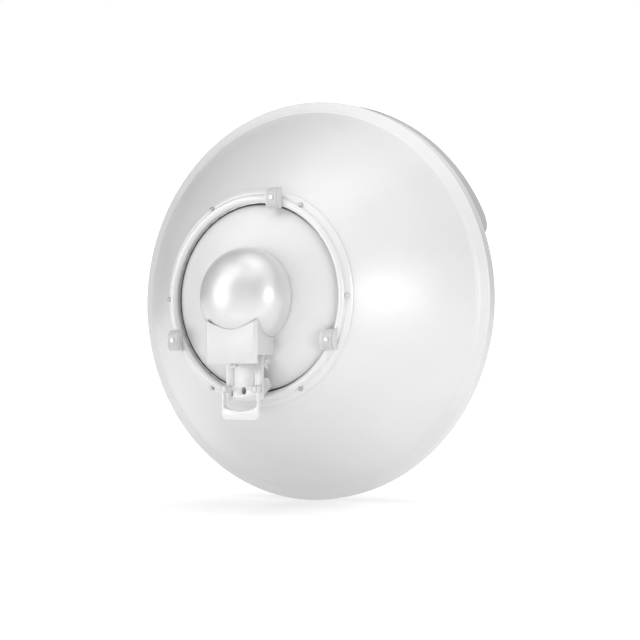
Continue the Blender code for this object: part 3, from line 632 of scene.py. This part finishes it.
def saddles():
    """Grey hoods over the bead, each between two lighter cheeks and held by a bright screw."""
    for side, (ring_r, angle) in SADDLES.items():
        a = math.radians(angle)
        x, z = ring_r * math.cos(a), ring_r * math.sin(a)
        at = (x + HOOD_SHIFT, 0, z)
        width = SADDLE_WIDTH - CHEEK_OUTER - CHEEK_INNER
        hood = slab(f"hood_{side}", saddle_section(HOOD_SINK, SADDLE_BASE), width, at, "YZ")
        cut(
            hood,
            slab("hollow", saddle_section(HOOD_WALL, SADDLE_BASE - 1.0), HOOD_HOLLOW, at, "YZ"),
            rod("hole", SADDLE_HOLE_R, 30, (x, SADDLE_CROWN, z), REARWARD, 32),
        )
        soften(hood, 0.5, 2)
        dress(hood, "antenna", "grey_polymer", f"ring_saddle_{side}")
        for end, way, thick in (("outer", 1, CHEEK_OUTER), ("inner", -1, CHEEK_INNER)):
            middle = (x + way * (SADDLE_WIDTH - thick) / 2, 0, z)
            section = saddle_section(0, SADDLE_BASE)
            cheek = slab(f"hood_{side}_cheek_{end}", section, thick - FACE_GAP, middle, "YZ")
            soften(cheek, 0.5, 3)
            dress(cheek, "antenna", "white_plastic")
        name, node = f"hood_{side}_screw", f"saddle_screw_{side}"
        seat = at_dish(x, SADDLE_CROWN + SCREW_GAP, z)
        fixing = screw(name, "antenna", node, seat, REARWARD, SADDLE_SCREW, "slot")
        fixing.data.materials[0] = BRIGHT_STEEL


# ------------------------------------------------------------------ radio housing, block and cover

BALL_R, BALL_RISE, BALL_Y, BALL_WALL = 77.1, 58.6, 190.4, 3.0
BALL_FOOT = [(77.1, 190.4, 0), (76.9, 185.0, 6.0), (75.8, 179.8, 0.5), (72.8, 179.8, 0)]
BALL_STEPS = 160
BALL_SPACE, BALL_SPACE_Y = 0.7, 160
JACK_WINDOW = ((-8.8, 199.8, -95), (8.8, 216.2, -50))


def ball_points(grow):
    """The dome's outline from its pole to its equator."""
    angles = [math.radians(a) for a in spread(90, 0, 40)]
    a, b = BALL_R + grow, BALL_RISE + grow
    points = [(a * math.cos(t), BALL_Y + b * math.sin(t)) for t in angles]
    return [(0, BALL_Y + b)] + points[1:]


def ball():
    """Domed housing, drawn in a little at its foot."""
    foot = fillet(BALL_FOOT, closed=False)[1:]
    outline = ball_points(0) + foot + ball_points(-BALL_WALL)[::-1]
    obj = turned("housing_dome", outline, BALL_STEPS)
    cut(obj, brick("window", *JACK_WINDOW))
    shade(obj, SMOOTH_ANGLE)
    dress(obj, "antenna", "white_plastic", "rear_housing")
    obj.data.materials[0] = DOME_FINISH


def dome_space():
    """Cutter for the room the dome takes, with a small gap round it."""
    reach = BALL_R + BALL_SPACE
    outline = ball_points(BALL_SPACE) + [(reach, BALL_SPACE_Y), (0, BALL_SPACE_Y)]
    return turned("dome_space", outline, BALL_STEPS)


COVER_HALF, COVER_REAR, COVER_FRONT, COVER_WALL, COVER_CORNER = 46.6, 235.5, 184.0, 2.4, 6.0
COVER_BOTTOM, COVER_TIP, COVER_DIP = -102.6, -35.2, -48.6
COVER_LIP = 5.0
COVER_BELOW = ((-60, 170, -120), (60, COVER_REAR - COVER_LIP, -89.8))
TAB_HALF, TAB_REAR, TAB_DROP, TAB_RISE, TAB_WEB = 5.0, 230.5, 6.0, 3.2, 0.8
TAB_SCREW, TAB_HOLE_R, TAB_HOLE_LONG = -104.4, 1.9, 16.0
SCOOP_LONG, SCOOP_Y = 60, 225


def cover_channel():
    """The cover seen from above: a rear wall and two side walls."""
    inner, inside = COVER_HALF - COVER_WALL, COVER_CORNER - COVER_WALL
    rear = COVER_REAR - COVER_WALL
    corners = [(COVER_HALF, COVER_FRONT, 0), (COVER_HALF, COVER_REAR, COVER_CORNER)]
    corners += [(-COVER_HALF, COVER_REAR, COVER_CORNER), (-COVER_HALF, COVER_FRONT, 0)]
    corners += [(-inner, COVER_FRONT, 0), (-inner, rear, inside)]
    corners += [(inner, rear, inside), (inner, COVER_FRONT, 0)]
    return fillet(corners, step=9)


def cover():
    """Three-sided cover: a rear plate with a hollow for the dome, and two side walls."""
    height, middle = COVER_TIP - COVER_BOTTOM, (COVER_TIP + COVER_BOTTOM) / 2
    body = slab("port_hood", cover_channel(), height, (0, 0, middle), "XY")
    dip = COVER_TIP - COVER_DIP
    radius = (COVER_HALF * COVER_HALF + dip * dip) / (2 * dip)
    scoop = rod("scoop", radius, SCOOP_LONG, (0, SCOOP_Y, COVER_DIP + radius), REARWARD, 240)
    cut(body, brick("below", *COVER_BELOW), scoop, dome_space())
    front, top = TAB_REAR - COVER_WALL, COVER_BOTTOM + TAB_RISE
    tab = brick("tab", (-TAB_HALF, front, COVER_BOTTOM - TAB_DROP), (TAB_HALF, TAB_REAR, top))
    low = (-TAB_HALF, front, COVER_BOTTOM + TAB_WEB)
    join(body, tab, brick("web", low, (TAB_HALF, COVER_REAR - 1.0, top)))
    cut(body, rod("hole", TAB_HOLE_R, TAB_HOLE_LONG, (0, TAB_REAR, TAB_SCREW), REARWARD, 32))
    soften(body, 0.45, 2, 40)
    dress(body, "cover", "white_plastic", "port_cover")
    seat = at_dish(0, TAB_REAR + SCREW_GAP, TAB_SCREW)
    screw("hood_screw", "cover", "cover_screw", seat, REARWARD, COVER_SCREW)


PORT_BLOCK = ((-30, 188, -83), (30, 222, -58))
POST = ((-4, 217, -108), (4, TAB_REAR - COVER_WALL - SCREW_GAP, -70))
JACK_POCKET = ((-8.6, 200.0, -95), (8.6, 216.0, -50))
JACK = ((-8.2, 200.4, -82.6), (8.2, 215.6, -60.5))
JACK_MOUTH = ((-6, 203.4, -90), (6, 212.0, -68.5))
JACK_LATCH = ((-3, 211.0, -90), (3, 213.8, -70))
CONTACTS, CONTACT_PITCH, CONTACT_HALF = 8, 1.02, 0.22
CONTACT_Y, CONTACT_Z = (203.42, 203.9), (-80.0, -68.6)
PORT_X, PORT_Y = 18.0, 208.0
PORT_HOLES = ((PORT_X, 2.9), (-PORT_X, 1.8))
PORT_HOLE_LONG, SCREW_HOLE_LONG = 23.0, 9.0
POST_HOLE_R, EARTH_HOLE_R = 1.8, 1.9
EARTH = (206, -77)
BUTTON = [(0, -5.5), (2.1, -5.5), (2.5, -5.1), (2.5, 5.3), (2.3, 5.5), (0, 5.5)]
LENS = [(0, -5.0), (0.7, -4.95), (1.2, -4.6), (1.4, -4.0), (1.4, 5.0), (0, 5.0)]
BUTTON_Z, LENS_Z = -79.0, -78.6


def port_body():
    """Block under the dome that holds the jack, the button and the light."""
    obj = brick("port_body", *PORT_BLOCK)
    join(obj, brick("post", *POST))
    soften(obj, 1.2, 3)
    half, bottom = PORT_BLOCK[1][0], PORT_BLOCK[0][2]
    cut(obj, dome_space(), brick("pocket", *JACK_POCKET))
    for x, radius in PORT_HOLES:
        cut(obj, rod("hole", radius, PORT_HOLE_LONG, (x, PORT_Y, bottom), UPWARD, 40))
    cut(
        obj,
        rod("hole", POST_HOLE_R, SCREW_HOLE_LONG, (0, POST[1][1], TAB_SCREW), REARWARD, 32),
        rod("hole", EARTH_HOLE_R, SCREW_HOLE_LONG, (half, *EARTH), SIDEWAYS, 32),
    )
    dress(obj, "antenna", "white_plastic", "port_block")


def jack():
    """Network jack with its contacts."""
    obj = brick("jack_shell", *JACK)
    soften(obj, 0.5, 2)
    cut(obj, brick("mouth", *JACK_MOUTH), brick("latch", *JACK_LATCH))
    dress(obj, "antenna", "jack_black", "ethernet_jack")
    for k in range(CONTACTS):
        x = CONTACT_PITCH * (k - (CONTACTS - 1) / 2)
        low = (x - CONTACT_HALF, CONTACT_Y[0], CONTACT_Z[0])
        pin = brick(f"jack_contact_{k + 1}", low, (x + CONTACT_HALF, CONTACT_Y[1], CONTACT_Z[1]))
        soften(pin, 0.08, 1)
        dress(pin, "antenna", "steel")


def button_and_light():
    """Reset button and light pipe in the block's underside."""
    cap = turned("reset_cap", BUTTON, 48, at_dish(PORT_X, PORT_Y, BUTTON_Z), UPWARD)
    dress(cap, "button", "grey_polymer", "reset_button")
    pipe = turned("light_pipe", LENS, 40, at_dish(-PORT_X, PORT_Y, LENS_Z), UPWARD)
    dress(pipe, "antenna", "lens_clear", "status_light")


def earth_screw():
    """Ground screw in the block's side."""
    seat = at_dish(PORT_BLOCK[1][0] + SCREW_GAP, *EARTH)
    screw("earth_screw", "antenna", "ground_screw", seat, SIDEWAYS, EARTH_SCREW)


# ------------------------------------------------------------------ feed

FEED_TUBE = [
    (36.0, 182.4, 0.5),
    (36.0, 179.6, 0.8),
    (29.4, 178.0, 1.5),
    (24.2, 119.0, 0.6),
    (21.5, 119.0, 0.6),
    (25.6, 175.0, 0),
    (25.6, 182.4, 0),
]
FEED_CAP = [
    (26.4, 117.8, 0),
    (36.4, 108.6, 3.0),
    (38.5, 104.0, 2.0),
    (38.5, 97.2, 2.0),
    (35.9, 93.4, 3.0),
    (29.0, 92.2, 6.0),
    (0, 92.0, 0),
]
CAP_WALL, CAP_SHOULDER_Y, CAP_INNER_Y = 1.4, 100, 93.5
FEED_STEPS = 96


def feed():
    """Plastic tube and the cap over the small reflector."""
    dress(turned("feed_neck", fillet(FEED_TUBE), FEED_STEPS), "antenna", "white_plastic", "feed_tube")
    points = fillet(FEED_CAP, closed=False)
    inner = []
    for r, h in points[:-1]:
        lift = CAP_WALL if h < CAP_SHOULDER_Y else 0
        inner.append((max(r - CAP_WALL, 0), h + lift))
    cap = turned("feed_radome", points[::-1] + inner + [(0, CAP_INNER_Y)], FEED_STEPS)
    dress(cap, "antenna", "white_plastic", "feed_cap")


# ------------------------------------------------------------------ bracket and bail

SEAT_Y, REAR, PLATE, CHEEK, HALF = 197.5, 196.0, 4.0, 3.0, 33.0
PIVOT, EAR = (184.0, -98.0), (205.2, -141.5)
BRACKET_TOP, BRACKET_BOTTOM, BRACKET_ROUND = -90.0, -159.5, 6.5
FOOT_R = 11.4
CHEEK_NOTCH = [(193.5, -111.5, 1.5), (193.5, -124.5, 1.0), (177.5, -125.3, 1.5), (169.2, -137.5, 1.5)]
CHEEK_BOTTOM = -154.5
EAR_R, EAR_X, EAR_WIDTH, EAR_ROOT = 6.0, 27.3, 4.0, 193.0
STRIP_HALF, STRIP_BOTTOM, SEAT_HALF, SEAT_TOP, SEAT_BOTTOM = 17.2, -136.6, 26.4, -138.6, -156.6
GROOVE_X, GROOVE_HALF, GROOVE_DEPTH, GROOVE_BOTTOM = 18.0, 0.5, 0.4, -136.0
MAST_HOLE_R, MAST_HOLE_Z = 4.2, (-143.0, -146.2)
SLOT_X, SLOT_R, SLOT_Z = 21.6, 1.4, (-145.2, -152.4)
KEY_R, KEY_PLACE = 1.6, (-19.9, 194, -145.3)
PLATE_MIDDLE, PLATE_THROUGH = (0, 194, 0), 30
CHEEK_SINK, CHEEK_INSET = 0.4, 0.02
TILT_HOLE_R, BAIL_HOLE_R = 3.2, 2.3
THROUGH = 90


def oblong(x, ends, radius, count):
    """A hole's outline with round ends at two heights."""
    upper, lower = ends
    return arc((x, upper), radius, 0, 180, count) + arc((x, lower), radius, 180, 360, count)


def mirrored(half):
    """A left-hand outline, then its mirror image in reverse."""
    return half + [(-x, z, radius) for x, z, radius in half[::-1]]


def bracket():
    """Bracket with bent cheeks, a raised T-shaped seat, ears for the bail and its holes."""
    back = mirrored([(-HALF, BRACKET_TOP, 1.0), (-HALF, BRACKET_BOTTOM, BRACKET_ROUND)])
    body = slab("mast_bracket", fillet(back), PLATE, (0, REAR - PLATE / 2, 0), "XZ")
    side = [(y, z, 0) for y, z in arc(PIVOT, FOOT_R, 132, 200, 14)] + CHEEK_NOTCH
    side += [(REAR - CHEEK_SINK, CHEEK_BOTTOM, 0.5), (REAR - CHEEK_SINK, BRACKET_TOP, 0)]
    ear = arc(EAR, EAR_R, 90, -90, 25) + [(EAR_ROOT, EAR[1] - EAR_R), (EAR_ROOT, EAR[1] + EAR_R)]
    for sign in (-1, 1):
        x = sign * (HALF - CHEEK / 2 - CHEEK_INSET)
        join(
            body,
            slab("cheek", fillet(side), CHEEK, (x, 0, 0), "YZ"),
            slab("ear", ear, EAR_WIDTH, (sign * EAR_X, 0, 0), "YZ"),
        )
    panel = mirrored([
        (-STRIP_HALF, BRACKET_TOP - 0.5, 1.0),
        (-STRIP_HALF, STRIP_BOTTOM, 2.0),
        (-SEAT_HALF, SEAT_TOP, 2.0),
        (-SEAT_HALF, SEAT_BOTTOM, 4.0),
    ])
    depth = SEAT_Y - REAR + 2
    join(body, slab("seat", fillet(panel), depth, (0, SEAT_Y - depth / 2, 0), "XZ"))
    for x in (-GROOVE_X, GROOVE_X):
        low = (x - GROOVE_HALF, REAR - GROOVE_DEPTH, GROOVE_BOTTOM)
        cut(body, brick("groove", low, (x + GROOVE_HALF, REAR + 1, BRACKET_TOP + 2)))
    cut(
        body,
        slab("hole", oblong(0, MAST_HOLE_Z, MAST_HOLE_R, 16), PLATE_THROUGH, PLATE_MIDDLE, "XZ"),
        slab("slot", oblong(SLOT_X, SLOT_Z, SLOT_R, 10), PLATE_THROUGH, PLATE_MIDDLE, "XZ"),
        rod("key", KEY_R, PLATE_THROUGH, KEY_PLACE, REARWARD, 32),
        rod("tilt", TILT_HOLE_R, THROUGH, (0, *PIVOT), SIDEWAYS, 40),
        rod("pin", BAIL_HOLE_R, THROUGH, (0, *EAR), SIDEWAYS, 40),
    )
    soften(body, 0.5, 2, 40)
    dress(body, "bracket", "white_casting", "bracket_body")


YOKE_PLATE = ((-29.4, 174.1, -112), (29.4, 177.4, -96))
YOKE_EAR_R, YOKE_EAR_X, YOKE_EAR_WIDTH = 6.0, 27.9, 3.0
YOKE_EAR_ROOT = [(176.0, -111.0), (176.0, -96.6)]


def yoke():
    """Two ears on the hub disc that carry the tilt bolts."""
    obj = brick("yoke_plate", *YOKE_PLATE)
    ear = arc(PIVOT, YOKE_EAR_R, 120, -60, 22) + YOKE_EAR_ROOT
    for x in (-YOKE_EAR_X, YOKE_EAR_X):
        join(obj, slab("ear", ear, YOKE_EAR_WIDTH, (x, 0, 0), "YZ"))
    cut(obj, rod("hole", TILT_HOLE_R, THROUGH, (0, *PIVOT), SIDEWAYS, 40))
    soften(obj, 0.4, 2, 40)
    dress(obj, "antenna", "white_casting", "tilt_yoke")


NUT_CHAMFER_SHARE, NUT_CHAMFER = 0.93, 0.5
# Nuts: radius to the corners and of the hole, then the two faces
TILT_NUT, TILT_NUT_X = ((5.6, 3.7), (-2, 2)), 23.9
MAST_NUT = ((7.0, MAST_HOLE_R), (185.6, 191.6))
BAIL_HALF, BAIL_ARM, BAIL_DEPTH = 33.2, 3.4, 7.0
BAIL_RISE, BAIL_BOTTOM, BAIL_ROUND = 5.0, -189.6, 9.0
BAIL_GRIP, BAIL_DIP, BAIL_SHOULDER = -171.0, 4.6, 2.5
BAIL_INSET = 3.0


def nut(name, node, origin, axis, size):
    """A hexagonal nut with chamfered corners, on the bracket."""
    (radius, hole), (low, high) = size
    small = radius * NUT_CHAMFER_SHARE
    outline = [(small, high), (radius, high - NUT_CHAMFER), (radius, low + NUT_CHAMFER)]
    outline += [(small, low), (hole, low), (hole, high)]
    dress(turned(name, outline, 6, origin, axis, 20), "bracket", "steel", node)


def bolts():
    """Tilt bolts with their nuts, bail pins and the mast bolt's nut."""
    for name, sign in (("left", 1), ("right", -1)):
        way = (sign, 0, 0)
        seat = at_dish(sign * (HALF + SCREW_GAP), *PIVOT)
        screw(f"tilt_{name}_bolt", "bracket", f"tilt_bolt_{name}", seat, way, TILT_BOLT, "none")
        middle = at_dish(sign * TILT_NUT_X, *PIVOT)
        nut(f"tilt_{name}_nut", f"tilt_nut_{name}", middle, SIDEWAYS, TILT_NUT)
        seat = at_dish(sign * (BAIL_HALF + SCREW_GAP), *EAR)
        screw(f"bail_{name}_pin", "bracket", f"bail_pin_{name}", seat, way, BAIL_PIN, "none")
    middle = at_dish(0, 0, sum(MAST_HOLE_Z) / 2)
    nut("seat_nut", "mast_nut", middle, REARWARD, MAST_NUT)


def bail():
    """Swinging bail: two arms and a grip hollowed on its inner edge."""
    inner, top = BAIL_HALF - BAIL_ARM, EAR[1] + BAIL_RISE
    chord = inner - BAIL_INSET
    radius = (chord * chord + BAIL_DIP * BAIL_DIP) / (2 * BAIL_DIP)
    sweep = math.degrees(math.asin(chord / radius))
    hollow = arc((0, BAIL_GRIP - BAIL_DIP + radius), radius, 270 + sweep, 270 - sweep, 28)
    shoulder = BAIL_GRIP + BAIL_SHOULDER
    outline = mirrored([(-BAIL_HALF, top, 2.0), (-BAIL_HALF, BAIL_BOTTOM, BAIL_ROUND)])
    outline += [(inner, top, 1.0), (inner, shoulder, BAIL_INSET)]
    outline += [(x, z, 0) for x, z in hollow]
    outline += [(-inner, shoulder, BAIL_INSET), (-inner, top, 1.0)]
    obj = slab("bail_frame", fillet(outline), BAIL_DEPTH, (0, EAR[0], 0), "XZ")
    soften(obj, 1.3, 3, 40)
    cut(obj, rod("hole", BAIL_HOLE_R, THROUGH, (0, *EAR), SIDEWAYS, 40))
    shade(obj, SMOOTH_ANGLE)
    dress(obj, "bail", "white_casting", "bail_lever")


for build in (
    reflector,
    brim,
    hub,
    ring,
    ring_screws,
    saddles,
    ball,
    cover,
    port_body,
    jack,
    button_and_light,
    earth_screw,
    feed,
    bracket,
    yoke,
    bolts,
    bail,
):
    build()

# ------------------------------------------------------------------ everything else keeps its CAD shape

for name, obj in frame["nodes"].items():
    for material_slot in obj.material_slots:
        material_slot.material = FINISH[SLOT_OF[name]]

# ------------------------------------------------------------------ camera

# Degrees round the dish's axis and up from the floor, metres, degrees off the rim's middle, millimetres
YAW, RISE, DISTANCE = 30.6393, -1.9237, 2.96516
AIM_SIDE, AIM_UP = -0.34452, -0.61095
FOCAL_LENGTH, SENSOR = 101.9644, 36.0


def place_camera():
    """Camera behind the antenna's right side, a little below the middle of the rim."""
    yaw, rise = math.radians(YAW), math.radians(RISE)
    offset = Vector((-math.sin(yaw) * math.cos(rise), math.cos(yaw) * math.cos(rise), math.sin(rise)))
    data = bpy.data.cameras.new("camera")
    data.sensor_width = SENSOR
    data.lens = FOCAL_LENGTH
    data.dof.use_dof = False
    camera = bpy.data.objects.new("camera", data)
    forward = -offset
    right = forward.cross(Vector((0, 0, 1))).normalized()
    up = right.cross(forward)
    spin = Matrix.Rotation(math.radians(AIM_SIDE), 3, up)
    forward, right = spin @ forward, spin @ right
    tip = Matrix.Rotation(math.radians(AIM_UP), 3, right)
    forward, up = tip @ forward, tip @ up
    turn = Matrix((right, up, -forward)).transposed()
    camera.matrix_world = Matrix.Translation(RIM + offset * DISTANCE) @ turn.to_4x4()
    bpy.context.scene.collection.objects.link(camera)
    bpy.context.scene.camera = camera
    return camera


camera = place_camera()

# ------------------------------------------------------------------ floor, backdrop and light

# Floor glow from its middle outwards, low then full; the low middle under the antenna is painted shade.
FLOOR_GLOW, FLOOR_WHITE, FLOOR_SHINE, FLOOR_BLUR = (0.36, 0.9), 0.6, 0.08, 0.10
FLOOR_GLOW_REACH = 0.6
FLOOR_R, FLOOR_GAP = 30.0, 0.0005
BACKDROP_GLOW, BACKDROP_AWAY, BACKDROP_HALF, BACKDROP_Z = 1.3, 7.0, 2.4, (-0.2, 2.0)
CLEAR_OF_FLOOR = 0.01
WORLD_GLOW, WORLD_SEEN = 0.20, 1.0


def floor():
    """White table that glows, dimmer in its middle under the antenna as painted shade, with a faint
    reflection.
    """
    bm = bmesh.new()
    bmesh.ops.create_circle(bm, cap_ends=True, segments=96, radius=FLOOR_R)
    obj = object_from("floor", bm)
    obj.location = (0, 0, CAD_BOX[0][2] - FLOOR_GAP)
    material = bpy.data.materials.new("floor_white")
    material.use_nodes = True
    tree = material.node_tree
    out = tree.nodes["Material Output"]
    matte = tree.nodes["Principled BSDF"]
    matte.inputs["Base Color"].default_value = (FLOOR_WHITE, FLOOR_WHITE, FLOOR_WHITE, 1)
    matte.inputs["Roughness"].default_value = 0.9
    matte.inputs["Specular IOR Level"].default_value = 0.0
    matte.inputs["Emission Color"].default_value = (1, 1, 1, 1)
    place = node(tree, "ShaderNodeTexCoord")
    reach = node(tree, "ShaderNodeVectorMath", operation="LENGTH")
    # Glow rising with distance from the floor's middle: painted shade under the antenna.
    glow = node(tree, "ShaderNodeMapRange")
    glow.interpolation_type = "SMOOTHSTEP"
    glow.inputs["From Min"].default_value = 0.0
    glow.inputs["From Max"].default_value = FLOOR_GLOW_REACH
    glow.inputs["To Min"].default_value = FLOOR_GLOW[0]
    glow.inputs["To Max"].default_value = FLOOR_GLOW[1]
    tree.links.new(place.outputs["Object"], reach.inputs[0])
    tree.links.new(reach.outputs["Value"], glow.inputs["Value"])
    tree.links.new(glow.outputs["Result"], matte.inputs["Emission Strength"])
    shine = node(tree, "ShaderNodeBsdfAnisotropic", Roughness=FLOOR_BLUR, Color=(1, 1, 1, 1))
    mix = node(tree, "ShaderNodeMixShader")
    mix.inputs[0].default_value = FLOOR_SHINE
    tree.links.new(matte.outputs[0], mix.inputs[1])
    tree.links.new(shine.outputs[0], mix.inputs[2])
    tree.links.new(mix.outputs[0], out.inputs["Surface"])
    obj.data.materials.append(material)


def backdrop():
    """Bright white wall far behind the antenna."""
    forward = -camera.matrix_world.to_3x3().col[2]
    way = Vector((forward.x, forward.y, 0)).normalized()
    side = way.cross(Vector((0, 0, 1)))
    foot = Vector((RIM.x, RIM.y, CAD_BOX[0][2])) + way * BACKDROP_AWAY
    bm = bmesh.new()
    half, (bottom, top) = BACKDROP_HALF, BACKDROP_Z
    corners = [(-half, bottom), (half, bottom), (half, top), (-half, top)]
    bm.faces.new([bm.verts.new(foot + side * u + Vector((0, 0, v))) for u, v in corners])
    obj = object_from("backdrop", bm)
    material = bpy.data.materials.new("backdrop_white")
    material.use_nodes = True
    shader = material.node_tree.nodes["Principled BSDF"]
    shader.inputs["Base Color"].default_value = (0, 0, 0, 1)
    shader.inputs["Specular IOR Level"].default_value = 0.0
    shader.inputs["Emission Color"].default_value = (1, 1, 1, 1)
    shader.inputs["Emission Strength"].default_value = BACKDROP_GLOW
    obj.data.materials.append(material)


def softbox(name, azimuth, elevation, distance, size, radiance):
    """A soft light facing the rim, kept above the floor; azimuth is degrees from +Y towards -X."""
    a, e = math.radians(azimuth), math.radians(elevation)
    way = Vector((-math.sin(a) * math.cos(e), math.cos(a) * math.cos(e), math.sin(e)))
    data = bpy.data.lights.new(name, "AREA")
    data.shape = "RECTANGLE"
    data.size, data.size_y = size
    data.energy = radiance * math.pi * size[0] * size[1]
    obj = bpy.data.objects.new(name, data)
    obj.location = RIM + way * distance
    lowest = obj.location.z - size[1] / 2 * math.cos(e)
    obj.location.z += max(CAD_BOX[0][2] + CLEAR_OF_FLOOR - lowest, 0.0)
    obj.rotation_euler = (-way).to_track_quat("-Z", "Y").to_euler()
    obj.visible_camera = False
    bpy.context.scene.collection.objects.link(obj)
    return obj


def world():
    """Even light from all round, and plain white where the camera sees past the stage."""
    made = bpy.data.worlds.new("studio")
    bpy.context.scene.world = made
    made.use_nodes = True
    tree = made.node_tree
    out = tree.nodes["World Output"]
    light = tree.nodes["Background"]
    light.inputs["Color"].default_value = (1, 1, 1, 1)
    light.inputs["Strength"].default_value = WORLD_GLOW
    seen = node(tree, "ShaderNodeBackground", Strength=WORLD_SEEN, Color=(1, 1, 1, 1))
    path = node(tree, "ShaderNodeLightPath")
    mix = node(tree, "ShaderNodeMixShader")
    tree.links.new(path.outputs["Is Camera Ray"], mix.inputs[0])
    tree.links.new(light.outputs[0], mix.inputs[1])
    tree.links.new(seen.outputs[0], mix.inputs[2])
    tree.links.new(mix.outputs[0], out.inputs["Surface"])


floor()
backdrop()
world()

LIGHTS = (
    # name, azimuth, elevation, distance, width, height, radiance
    ("key", 57, 3, 2.2, 0.8, 0.7, 5.4),
    ("key_high", 60, 22, 2.2, 0.9, 0.9, 1.15),
    ("edge", 80, 0, 2.2, 0.9, 0.9, 0.1),
    ("side_right", 110, 10, 2.2, 1.1, 1.1, 0.2),
    ("fill", -40, 1, 2.2, 0.7, 0.65, 3.1),
    ("fill_high", -34, 34, 2.2, 1.1, 1.1, 1.75),
    ("side_left", -60, 40, 2.2, 1.1, 1.1, 0.4),
    ("front", 0, 8, 2.2, 0.7, 0.5, 0.5),
    ("top_left", 0, 55, 2.2, 1.9, 1.9, 1.35),
    ("top_right", 60, 55, 2.2, 1.7, 1.7, 1.0),
    ("top", 30, 85, 2.2, 1.4, 1.4, 1.2),
    ("front_fill", 180, 25, 2.2, 1.2, 1.2, 1.3),
    ("bounce", 12, -34, 0.66, 0.6, 0.12, 0.8),
)
for light_name, azimuth, elevation, distance, width, height, radiance in LIGHTS:
    softbox(light_name, azimuth, elevation, distance, (width, height), radiance)

# Round panels that show only as reflections: name, azimuth, elevation, diameter, radiance
SHEEN_AWAY, DISK_SHARE = 2.2, math.pi / 4
SHEENS = (("sheen_left", -40, 4, 1.5, 2.2), ("sheen_right", 57, 6, 1.0, 1.1))
for light_name, azimuth, elevation, size, radiance in SHEENS:
    panel = softbox(light_name, azimuth, elevation, SHEEN_AWAY, (size, size), radiance * DISK_SHARE)
    panel.data.shape = "DISK"
    panel.visible_diffuse = False

bpy.context.scene.view_settings.view_transform = "Standard"
